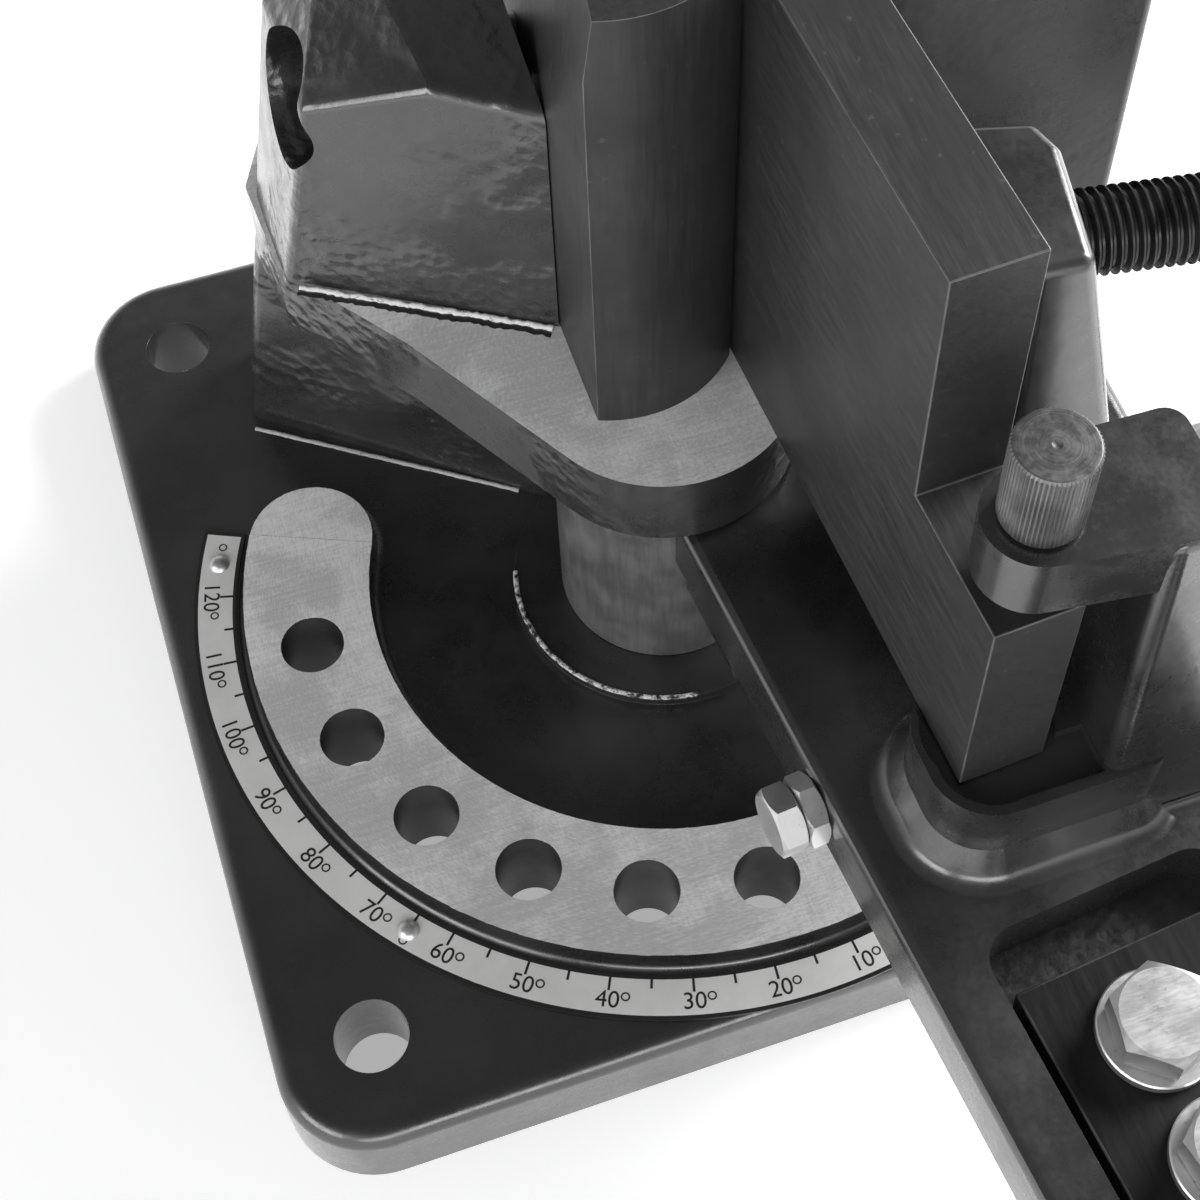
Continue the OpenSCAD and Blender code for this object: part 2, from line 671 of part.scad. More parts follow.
module swing_arm() {
    spine_foot = [for (s = spine_foot_share) [s[0] * pin_y, s[1] * pin_y]];
    spine_tops = [for (s = spine_top_share) [s[0] * pin_y, s[1] * pin_y, lug_top - spine_r]];
    lug_pts = [for (s = lug_share) [s[0] * pin_y, s[1] * pin_y]];
    boss_pts = [for (s = boss_share) [s[0] * pin_y, s[1] * pin_y]];
    boss_front = [boss_front_share[0] * pin_y, boss_front_share[1] * pin_y];
    seat_front_r = boss_nose_r * boss_front_r_share - rim_front_wall;
    seat_right = spine_foot[0][0] - spine_r - seat_gap;
    web_w = arm_right - arm_corner_r;
    tower_foot = [for (s = tower_foot_share) [s[0] * tower_h, s[1] * tower_h]];
    tower_tops = [for (s = tower_top_share) [s[0] * tower_h, s[1] * tower_h, arm_top + tower_h - cast_r]];
    color("#1e2022")
    difference() {
        union() {
            // Web of the arm
            translate([0, 0, arm_low])
                hull() {
                    arm_at(0, arm_corner_r + 2 * sink - arm_left)
                        soft_post(arm_corner_r + 2 * sink, arm_t, arm_edge);
                    for (p = [[arm_len - arm_corner_r, arm_corner_r - arm_left],
                              [arm_len - arm_corner_r, web_w], [arm_len * arm_shoulder_share, web_w]])
                        arm_at(p[0], p[1]) soft_post(arm_corner_r, arm_t, arm_edge);
                }
            // Floor under the lever's recess
            translate([0, 0, arm_top - recess_depth - recess_floor])
                hull()
                    for (u = [recess_start - recess_floor + arm_corner_r, arm_len - arm_corner_r],
                         w = [recess_left - recess_rim + arm_corner_r,
                              recess_left + recess_w + recess_rim - arm_corner_r])
                        arm_at(u, w)
                            cylinder(r1 = arm_corner_r - arm_edge, r2 = arm_corner_r,
                                     h = recess_floor + overrun, $fn = 32);
            // Two ribs under the web
            for (w = [0, rib_gap])
                arm_frame()
                    translate([0, w, arm_low - rib_h])
                        rotate([90, 0, 0])
                            linear_extrude(height = rib_t, center = true)
                                polygon([[0, 0], [rib_end / 2, 0], [rib_end, rib_h],
                                         [rib_end, rib_h + sink], [0, rib_h + sink]]);
            // Hub
            translate([0, 0, collar_top + seat_gap])
                cylinder(r = hub_r, h = shelf_z - collar_top - 2 * seat_gap, $fn = 96);
            // Lower boss with its skirt
            translate([0, 0, arm_top - sink]) {
                hull() {
                    translate([pin_x, -pin_y, 0]) cylinder(r = boss_nose_r, h = boss_h + sink, $fn = 64);
                    translate(boss_front)
                        cylinder(r = boss_nose_r * boss_front_r_share, h = boss_h + sink, $fn = 64);
                    for (p = boss_pts)
                        translate(p) cylinder(r = boss_corner_r, h = boss_h + sink, $fn = 32);
                }
                hull() {
                    translate([pin_x, -pin_y, 0])
                        cylinder(r1 = boss_nose_r + boss_skirt, r2 = boss_nose_r,
                                 h = boss_skirt_h, $fn = 64);
                    translate(boss_front)
                        cylinder(r1 = boss_nose_r * boss_front_r_share + boss_skirt,
                                 r2 = boss_nose_r * boss_front_r_share, h = boss_skirt_h, $fn = 64);
                    for (p = boss_pts)
                        translate(p)
                            cylinder(r1 = boss_corner_r + boss_skirt, r2 = boss_corner_r,
                                     h = boss_skirt_h, $fn = 32);
                }
            }
            // Spine of the bracket and its upper lug
            cast_block(spine_foot, arm_top - sink, spine_tops, spine_r);
            translate([0, 0, lug_low])
                hull() {
                    translate([pin_x, -pin_y, 0]) cylinder(r = lug_nose_r, h = lug_t, $fn = 64);
                    for (p = lug_pts)
                        translate(p) cylinder(r = lug_corner_r, h = lug_t, $fn = 32);
                }
            // Spindle tower
            cast_block(tower_foot, arm_top - sink, tower_tops, cast_r);
        }
        // Bush seat and thrust washer seat
        translate([0, 0, base_t]) {
            cylinder(d = pivot_d + 2 * bush_wall + 2 * fit_run, h = shelf_gap + overrun, $fn = 96);
            cylinder(r = thrust_r + thrust_play, h = collar_h + thrust_t + seat_gap, $fn = 96);
        }
        // Recess for the lever bar, open to the front
        arm_frame()
            translate([recess_start, recess_left, arm_top - recess_depth]) {
                translate([recess_corner_r, 0, 0]) cube([arm_len, recess_w, recess_depth + overrun]);
                translate([0, recess_corner_r, 0])
                    cube([arm_len, recess_w - 2 * recess_corner_r, recess_depth + overrun]);
                for (w = [recess_corner_r, recess_w - recess_corner_r])
                    translate([recess_corner_r, w, 0])
                        cylinder(r = recess_corner_r, h = recess_depth + overrun, $fn = 40);
            }
        for (i = [0, 1])
            arm_at(lever_bolt_u + i * lever_bolt_pitch, lever_mid_w())
                translate([0, 0, arm_low - rib_h - overrun])
                    cylinder(d = bolt_d + 2 * hole_play, h = arm_t + rib_h + 2 * overrun, $fn = 32);
        // Seat for the plate's foot: a round-nosed hollow with a thin rim, open where the plate runs out
        translate([0, 0, pocket_floor]) {
            translate([pin_x, -pin_y, 0]) cylinder(r = boss_nose_r - rim_wall, h = boss_h, $fn = 64);
            translate(boss_front) {
                cylinder(r = seat_front_r, h = boss_h, $fn = 64);
                translate([0, -seat_front_r + seat_gap, 0])
                    cube([seat_right - boss_front[0], seat_front_r, boss_h]);
            }
            translate([pin_x, -pin_y, 0])
                rotate([0, 0, plate_dir])
                    translate([-boss_nose_r + seat_wall, 0, 0])
                        cube([plate_t + 2 * spine_r + 2 * foot_play, 2 * boss_nose_r, boss_h]);
        }
        // Bore of the hinge pin through lug and boss
        translate([pin_x, -pin_y, arm_low - overrun - rib_h])
            cylinder(d = pin_d + 2 * fit_loose, h = lug_top, $fn = 48);
        // Spindle bore and the shoe's recess
        spindle_frame() {
            translate([0, 0, -tower_h]) cylinder(d = spindle_d + 2 * fit_run, h = 2 * tower_h, $fn = 48);
            translate([0, 0, shoe_back - tower_h + shoe_recess])
                cylinder(d = shoe_d + 2 * shoe_play, h = tower_h, $fn = 48);
        }
        // Hole of the stop screw
        stop_screw_frame() cylinder(d = stop_screw_d + 2 * fit_run, h = stop_screw_l + overrun, $fn = 32);
    }
}
thrust_play = 0.3;
seat_wall = 3.2;
rim_wall = 1.4;
rim_front_wall = 2;
lug_corner_r = 4;
arm_shoulder_share = 0.145;
function lever_mid_w() = recess_left + lever_off + lever_w / 2;

// Axis of the stop screw, square to the arm's left side; zero at the side face
module stop_screw_frame() {
    arm_at(stop_screw_u, -arm_left)
        translate([0, 0, arm_top - stop_screw_drop]) rotate([-90, 0, 0]) children();
}

module arm_bush() {
    color("#b08d4f")
    translate([0, 0, collar_top + thrust_t + seat_gap])
        difference() {
            cylinder(d = pivot_d + 2 * bush_wall,
                     h = shelf_z - collar_top - thrust_t - 2 * seat_gap, $fn = 96);
            translate([0, 0, -overrun]) cylinder(d = pivot_d + 2 * fit_run, h = shelf_z, $fn = 96);
        }
}

module stop_screw() {
    color("#c8c9c6")
    stop_screw_frame() {
        translate([0, 0, -stop_nut_h - stop_gap - stop_head_h]) hex(stop_screw_af, stop_head_h);
        translate([0, 0, -stop_nut_h - stop_gap - overrun])
            cylinder(d = stop_screw_d, h = stop_screw_l + stop_nut_h - overrun, $fn = 32);
    }
}

module stop_nut() {
    color("#c8c9c6")
    stop_screw_frame()
        translate([0, 0, -stop_nut_h])
            difference() {
                hex(stop_screw_af, stop_nut_h);
                translate([0, 0, -overrun])
                    cylinder(d = stop_screw_d + 2 * fit_run, h = stop_nut_h + 2 * overrun, $fn = 32);
            }
}

module set_plate() {
    color("#5c6064")
    difference() {
        rotate([0, 0, plate_dir])
            translate([plate_face, 0, plate_low]) {
                translate([0, -plate_front, 0]) cube([plate_t, plate_front + plate_rear, plate_h]);
                translate([0, -foot_front, 0]) cube([plate_t, foot_front, foot_h]);
            }
        translate([pin_x, -pin_y, plate_low - overrun])
            cylinder(d = pin_d + 2 * fit_loose, h = foot_h + 2 * overrun, $fn = 48);
    }
}

module hinge_pin() {
    color("#45484c")
    translate([pin_x, -pin_y, 0]) {
        translate([0, 0, arm_low + sink]) cylinder(d = pin_d, h = lug_top - arm_low, $fn = 40);
        translate([0, 0, lug_top + seat_gap])
            rotate_extrude($fn = 64)
                polygon([[0, 0], [pin_head_d / 2 - head_chamfer, 0], [pin_head_d / 2, head_chamfer],
                         [pin_head_d / 2, pin_head_h - head_chamfer],
                         [pin_head_d / 2 - head_chamfer, pin_head_h], [0, pin_head_h]]);
    }
}
head_chamfer = 0.8;

module pressure_shoe() {
    color("#8f9296")
    spindle_frame()
        difference() {
            intersection() {
                translate([0, 0, shoe_tip]) cylinder(d = shoe_d, h = shoe_len, $fn = 48);
                translate([0, 0, shoe_centre]) sphere(r = shoe_face_r, $fn = 96);
            }
            translate([0, 0, shoe_back - neck_l])
                cylinder(d = neck_d + 2 * fit_loose, h = neck_l + overrun, $fn = 40);
        }
}

module spindle() {
    color("#2a2c2e")
    spindle_frame()
        difference() {
            union() {
                translate([0, 0, shoe_back - neck_l + neck_play])
                    cylinder(d = neck_d, h = neck_l + neck_play, $fn = 40);
                translate([0, 0, shoe_back + neck_play])
                    cylinder(d = spindle_d, h = spindle_out - shoe_back, $fn = 48);
                translate([0, 0, spindle_out]) cylinder(d = head_d, h = head_l, $fn = 64);
            }
            translate([0, 0, spindle_out + head_l / 2])
                rotate([0, 90, 0])
                    translate([0, 0, -head_d])
                        cylinder(d = bar_d + 2 * fit_loose, h = 2 * head_d, $fn = 40);
        }
}

// The cross bar rests low, its upper knob on the head
module bar_frame() {
    spindle_frame()
        translate([0, 0, spindle_out + head_l / 2]) rotate([0, 90, 0])
            translate([0, 0, bar_l / 2 - knob_d * knob_sink_share - head_d / 2 - seat_gap]) children();
}
knob_sink_share = 0.75;

module cross_bar() {
    color("#a9acaf")
    bar_frame() translate([0, 0, -bar_l / 2]) cylinder(d = bar_d, h = bar_l, $fn = 40);
}

module bar_knobs() {
    color("#1b1c1e")
    bar_frame()
        for (s = [-1, 1])
            rotate([s < 0 ? 180 : 0, 0, 0])
                translate([0, 0, bar_l / 2 - knob_d * knob_sink_share])
                    difference() {
                        intersection() {
                            translate([0, 0, knob_d / 2]) sphere(d = knob_d * knob_ball_share, $fn = 48);
                            cylinder(d = knob_d, h = knob_d, $fn = 48);
                        }
                        translate([0, 0, -overrun])
                            cylinder(d = bar_d + 2 * fit_run,
                                     h = knob_d * knob_sink_share + overrun, $fn = 40);
                    }
}
knob_ball_share = 1.12;

module lever_bar() {
    color("#17181a")
    difference() {
        translate([0, 0, arm_top - recess_depth])
            hull() {
                arm_frame()
                    translate([lever_start, lever_mid_w() - lever_w / 2, 0])
                        cube([arm_corner_r, lever_w, lever_t]);
                arm_at(lever_start + lever_l - lever_w / 2, lever_mid_w())
                    cylinder(d = lever_w, h = lever_t, $fn = 48);
            }
        for (i = [0, 1])
            arm_at(lever_bolt_u + i * lever_bolt_pitch, lever_mid_w())
                translate([0, 0, arm_low - arm_t])
                    cylinder(d = bolt_d + 2 * hole_play, h = 2 * arm_top, $fn = 32);
    }
}

module at_lever_bolts() {
    for (i = [0, 1])
        arm_at(lever_bolt_u + i * lever_bolt_pitch, lever_mid_w())
            translate([0, 0, arm_top - recess_depth + lever_t])
                rotate([0, 0, i * bolt_turn + bolt_turn]) children();
}
bolt_turn = 17;

module lever_bolts() {
    color("#d3d4cf")
    at_lever_bolts() {
        translate([0, 0, bolt_washer_t]) hex(bolt_af, bolt_head_h);
        translate([0, 0, -lever_t - recess_floor - bolt_nut_h - bolt_end])
            cylinder(d = bolt_d,
                     h = lever_t + recess_floor + bolt_nut_h + bolt_end + bolt_washer_t + overrun,
                     $fn = 32);
    }
}

module lever_washers() {
    color("#c4c5c1")
    at_lever_bolts()
        difference() {
            cylinder(d = bolt_washer_d, h = bolt_washer_t, $fn = 48);
            translate([0, 0, -overrun])
                cylinder(d = bolt_d + 2 * hole_play, h = bolt_washer_t + 2 * overrun, $fn = 32);
        }
}

module lever_nuts() {
    color("#c4c5c1")
    at_lever_bolts()
        translate([0, 0, -lever_t - recess_floor - bolt_nut_h])
            difference() {
                hex(bolt_af, bolt_nut_h);
                translate([0, 0, -overrun])
                    cylinder(d = bolt_d + 2 * fit_run, h = bolt_nut_h + 2 * overrun, $fn = 32);
            }
}

module lever_grip() {
    color("#101112")
    difference() {
        translate([0, 0, arm_top - recess_depth + lever_t / 2])
            hull()
                for (u = [lever_start + lever_l - grip_l + grip_wall, lever_start + lever_l],
                     w = [-lever_w / 2, lever_w / 2])
                    arm_at(u, lever_mid_w() + w)
                        sphere(r = lever_t / 2 + grip_wall, $fn = 24);
        translate([0, 0, arm_top - recess_depth - fit_loose])
            hull() {
                arm_frame()
                    translate([lever_start, lever_mid_w() - lever_w / 2 - fit_loose, 0])
                        cube([arm_corner_r, lever_w + 2 * fit_loose, lever_t + 2 * fit_loose]);
                arm_at(lever_start + lever_l - lever_w / 2, lever_mid_w())
                    cylinder(d = lever_w + 2 * fit_loose, h = lever_t + 2 * fit_loose, $fn = 48);
            }
    }
}

base_plate();
degree_scale();
scale_rivets();
column();
column_screws();
forming_block();
block_dowels();
block_screw();
pivot_pin();
thrust_washer();
stop_pin();
swing_arm();
arm_bush();
stop_screw();
stop_nut();
set_plate();
hinge_pin();
pressure_shoe();
spindle();
cross_bar();
bar_knobs();
lever_bar();
lever_bolts();
lever_washers();
lever_nuts();
lever_grip();
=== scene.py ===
"""Looks for the bench bending machine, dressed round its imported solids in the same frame, in metres.

The castings get soft edges and black paint, the stop pad and the shelf their machined faces, the
degree strip its print, the spindle and the screws their threads, and the hinge pin its knurl.
"""

import math
import random

import bmesh
import bpy
from mathutils import Matrix, Vector


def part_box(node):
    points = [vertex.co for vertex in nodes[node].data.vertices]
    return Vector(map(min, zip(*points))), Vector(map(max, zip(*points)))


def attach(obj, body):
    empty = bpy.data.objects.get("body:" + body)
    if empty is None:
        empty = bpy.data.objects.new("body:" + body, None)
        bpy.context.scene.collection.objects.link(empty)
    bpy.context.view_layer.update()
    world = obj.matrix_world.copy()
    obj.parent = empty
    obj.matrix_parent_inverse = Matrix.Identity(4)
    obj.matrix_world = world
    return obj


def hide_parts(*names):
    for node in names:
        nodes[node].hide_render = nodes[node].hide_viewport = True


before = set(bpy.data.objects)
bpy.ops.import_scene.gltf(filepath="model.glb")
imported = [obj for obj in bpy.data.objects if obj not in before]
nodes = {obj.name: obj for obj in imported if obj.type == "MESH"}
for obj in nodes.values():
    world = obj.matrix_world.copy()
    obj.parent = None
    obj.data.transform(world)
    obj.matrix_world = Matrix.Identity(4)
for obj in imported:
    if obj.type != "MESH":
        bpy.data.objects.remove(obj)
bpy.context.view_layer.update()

MM = 0.001
MANY_FACES = 12000
LUMP_SCALE = 330.0

# Heights, radii and places that the dressing shares with the solids, in millimetres and degrees
BASE_TOP = 20.0
PAD_TOP = 26.0
STOP_CIRCLE_R = 82.2
STOP_HOLE_R = 7.1
STOP_STEP = 18.0
STOP_COUNT = 7
PAD_HALF = 14.4
PAD_FROM, PAD_TO = -8.0, 128.0
ZERO_DIR = -75.2
STRIP_INNER, STRIP_OUTER = 98.9, 108.6
STRIP_FROM, STRIP_TO = -4.0, 129.9
STRIP_TOP = 20.8
RING_PLACES = ((64.8, 7.3), (127.5, 4.6))
SHELF_TOP = 100.0
RIGHT_WALL_X = 45.0
RIGHT_WALL_Z = 105.0
SPINDLE_POINT = (62.0, -42.5, 167.5)
SPINDLE_DIR = -9.5
SPINDLE_R = 8.0
SPINDLE_OUT = 74.0
PIN_AT = (29.8, -97.8)
PIN_R = 5.0
PIN_HEAD_R = 7.3
PIN_HEAD = 19.1
ARM_DIR = -84.6
ARM_TOP = 79.5
ARM_LEFT = 7.0
HUB_R = 23.5
HUB_TOP = 80.5
BOSS_FRONT, BOSS_REAR = -135.0, -78.0
RECESS_FLOOR = 66.5
LEVER_TOP = 74.5
LEVER_MIDDLE = 28.4
LEVER_BOLTS = (156.5, 182.1)
BOLT_TURN = 17.0
BENCH_HOLES = ((103.0, 102.0), (-93.0, 102.0), (103.0, -86.0), (-93.0, -86.0))
BENCH_HOLE_R = 7.5
COLLAR_R = 34.5
COLLAR_H = 2.8
# The arc of the collar rim that carries the painted highlight, in degrees
RIM_FROM, RIM_TO = 20.0, 122.0
CHEEK_FOOT = ((-64.5, 45.5), (-17.5, 18.0))
# Ends of the painted highlight along the pedestal's foot
PEDESTAL_FOOT = ((-80.0, 71.9), (-24.6, 33.8))
SUNK = 0.3
STOP_SCREW_AT = (89.0, -ARM_LEFT, ARM_TOP - 8.0)

# Screws: the width across their flats, then crest radius, root radius and pitch of their threads,
# and where heads, shanks and nuts begin and end along them
STOP_ACROSS = 13.0
STOP_THREAD = (3.98, 3.35, 1.25)
STOP_HEAD = (-10.4, -4.8)
STOP_SHANK = (-4.9, 35.8)
STOP_NUT = (-4.6, 0.0)
BOLT_ACROSS = 18.0
BOLT_THREAD = (5.98, 5.15, 1.75)
BOLT_HEAD = (2.5, 10.0)
BOLT_SHANK = (-33.0, 2.6)
BOLT_NUT = (-30.0, -20.0)
SPINDLE_THREAD = (SPINDLE_R - 0.02, SPINDLE_R - 1.05, 2.0)

# Soft edges and the fillets at the foot of the boss and of the pad
CAST_EDGE = 0.5
BASE_EDGE = 0.4
BLOCK_EDGE = 0.35
PLATE_EDGE = 0.3
BOSS_FILLET = 2.6
FOOT_FILLET = 2.6

# Print on the degree strip
PRINT_THICK = 0.07
RING_R = 1.0
DIGIT_SIZE = 5.2

# The photograph's camera, in its pixels
PHOTO_WIDTH = 1200
PHOTO_FOCUS = 2273.71
PHOTO_SHIFT = (-86.76, -120.01)
SENSOR = 36.0


# Mesh tools
def merged_copy(node):
    """A bmesh of a CAD node with its doubles merged and its flat faces made whole."""
    bm = bmesh.new()
    bm.from_mesh(nodes[node].data)
    bmesh.ops.remove_doubles(bm, verts=bm.verts[:], dist=2e-6)
    bmesh.ops.dissolve_degenerate(bm, edges=bm.edges[:], dist=1e-6)
    bmesh.ops.dissolve_limit(
        bm,
        angle_limit=math.radians(0.6),
        verts=bm.verts[:],
        edges=bm.edges[:],
        use_dissolve_boundaries=False,
    )
    return bm


def soften(bm, width, least=35.0, most=150.0, segments=2, where=None, clamp=True, worn=True):
    """Bevels the edges whose faces meet at between least and most degrees, and marks the new faces."""
    for kind in ("edge", "rounding"):
        if bm.faces.layers.float.get(kind) is None:
            bm.faces.layers.float.new(kind)
    mark = bm.faces.layers.float.get("edge")
    rounding = bm.faces.layers.float.get("rounding")
    sharp = []
    for e in bm.edges:
        if len(e.link_faces) == 2:
            a = math.degrees(e.calc_face_angle(0.0))
            if least < a < most and (where is None or where(e)):
                sharp.append(e)
    made = bmesh.ops.bevel(
        bm,
        geom=sharp,
        offset=width * MM,
        offset_type="OFFSET",
        segments=segments,
        profile=0.5,
        affect="EDGES",
        clamp_overlap=clamp,
        material=-1,
    )
    for f in made["faces"]:
        if f.is_valid:
            f[rounding] = 1.0
            f[mark] = 1.0 if worn else 0.0


def shade_by_area(mesh):
    """Gives each corner the normal of its smooth fan, in which a broad face outweighs a narrow one."""
    bm = bmesh.new()
    bm.from_mesh(mesh)
    bm.faces.ensure_lookup_table()
    areas = [f.calc_area() for f in bm.faces]
    normals = [(0.0, 0.0, 1.0)] * sum(len(f.loops) for f in bm.faces)
    for v in bm.verts:
        left = list(v.link_loops)
        while left:
            fan = []
            queue = [left.pop()]
            while queue:
                corner = queue.pop()
                fan.append(corner)
                for e in (corner.edge, corner.link_loop_prev.edge):
                    if not e.smooth:
                        continue
                    for other in [c for c in left if c.face in e.link_faces]:
                        left.remove(other)
                        queue.append(other)
            total = Vector()
            for corner in fan:
                total += corner.face.normal * (areas[corner.face.index] + 1e-12)
            total.normalize()
            for corner in fan:
                normals[corner.index] = total
    bm.free()
    mesh.normals_split_custom_set(normals)


def settle(name, bm, body, finishes, stands_for=(), smooth=35.0, flip=True):
    """Turns a bmesh into a piece that rides on a body and wears its finishes."""
    if flip:
        bmesh.ops.recalc_face_normals(bm, faces=bm.faces[:])
    rounding = bm.faces.layers.float.get("rounding")
    for f in bm.faces:
        f.smooth = True
    for e in bm.edges:
        rounded = rounding is not None and any(f[rounding] > 0.5 for f in e.link_faces)
        e.smooth = rounded or math.degrees(e.calc_face_angle(0.0)) < smooth
    bm.faces.index_update()
    mesh = bpy.data.meshes.new(name)
    bm.to_mesh(mesh)
    bm.free()
    if len(mesh.polygons) < MANY_FACES:
        shade_by_area(mesh)
    for f in finishes:
        mesh.materials.append(f)
    piece = bpy.data.objects.new(name, mesh)
    bpy.context.collection.objects.link(piece)
    if stands_for:
        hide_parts(*stands_for)
    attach(piece, body)


def polar(angle, r, z=0.0):
    """A place on the scale: angle in degrees clockwise from the zero mark, r and z in millimetres."""
    a = math.radians(ZERO_DIR - angle)
    return Vector((r * math.cos(a), r * math.sin(a), z)) * MM


def ring_sector(bm, r0, r1, z0, z1, a0, a1, steps):
    """A flat ring segment with closed ends, spun about the pivot."""
    corners = [polar(a0, r, z) for r, z in ((r0, z0), (r1, z0), (r1, z1), (r0, z1))]
    verts = [bm.verts.new(c) for c in corners]
    face = bm.faces.new(verts)
    bmesh.ops.spin(
        bm,
        geom=[face] + face.edges[:] + verts,
        cent=(0, 0, 0),
        axis=(0, 0, 1),
        dvec=(0, 0, 0),
        angle=-math.radians(a1 - a0),
        steps=steps,
        use_merge=False,
        use_duplicate=False,
    )


def turned(bm, profile, steps):
    """A full turning from (radius, height) points in millimetres, closed on the axis or on itself."""
    verts = [bm.verts.new((r * MM, 0, z * MM)) for r, z in profile]
    edges = [bm.edges.new(pair) for pair in zip(verts, verts[1:])]
    bmesh.ops.spin(
        bm,
        geom=verts + edges,
        cent=(0, 0, 0),
        axis=(0, 0, 1),
        dvec=(0, 0, 0),
        angle=2 * math.pi,
        steps=steps,
        use_merge=True,
        use_duplicate=False,
    )
    bmesh.ops.remove_doubles(bm, verts=bm.verts[:], dist=1e-6)


def cut_thread(major, minor, pitch, z0, z1, steps=40):
    """A screw thread between two heights: one turn of a tooth, repeated, and cut square at both ends."""
    bm = bmesh.new()
    tooth = ((minor, 0.0), (minor, 0.10), (major, 0.42), (major, 0.58), (minor, 0.90), (minor, 1.0))
    verts = [bm.verts.new((r * MM, 0, (z0 + (t - 1.5) * pitch) * MM)) for r, t in tooth]
    edges = [bm.edges.new(pair) for pair in zip(verts, verts[1:])]
    bmesh.ops.spin(
        bm,
        geom=verts + edges,
        cent=(0, 0, 0),
        axis=(0, 0, 1),
        dvec=(0, 0, pitch * MM / steps),
        angle=2 * math.pi,
        steps=steps,
        use_merge=False,
        use_duplicate=False,
    )
    one_turn = bm.verts[:] + bm.edges[:] + bm.faces[:]
    for i in range(1, math.ceil((z1 - z0) / pitch) + 3):
        copy = bmesh.ops.duplicate(bm, geom=one_turn)
        again = [g for g in copy["geom"] if isinstance(g, bmesh.types.BMVert)]
        bmesh.ops.translate(bm, vec=(0, 0, i * pitch * MM), verts=again)
    bmesh.ops.remove_doubles(bm, verts=bm.verts[:], dist=4e-6)
    for z, keep_above in ((z0, True), (z1, False)):
        cut = bmesh.ops.bisect_plane(
            bm,
            geom=bm.verts[:] + bm.edges[:] + bm.faces[:],
            plane_co=(0, 0, z * MM),
            plane_no=(0, 0, -1 if keep_above else 1),
            clear_outer=True,
            clear_inner=False,
            dist=1e-7,
        )
        rim = [g for g in cut["geom_cut"] if isinstance(g, bmesh.types.BMEdge)]
        bmesh.ops.edgeloop_fill(bm, edges=rim)
    bmesh.ops.recalc_face_normals(bm, faces=bm.faces[:])
    return bm


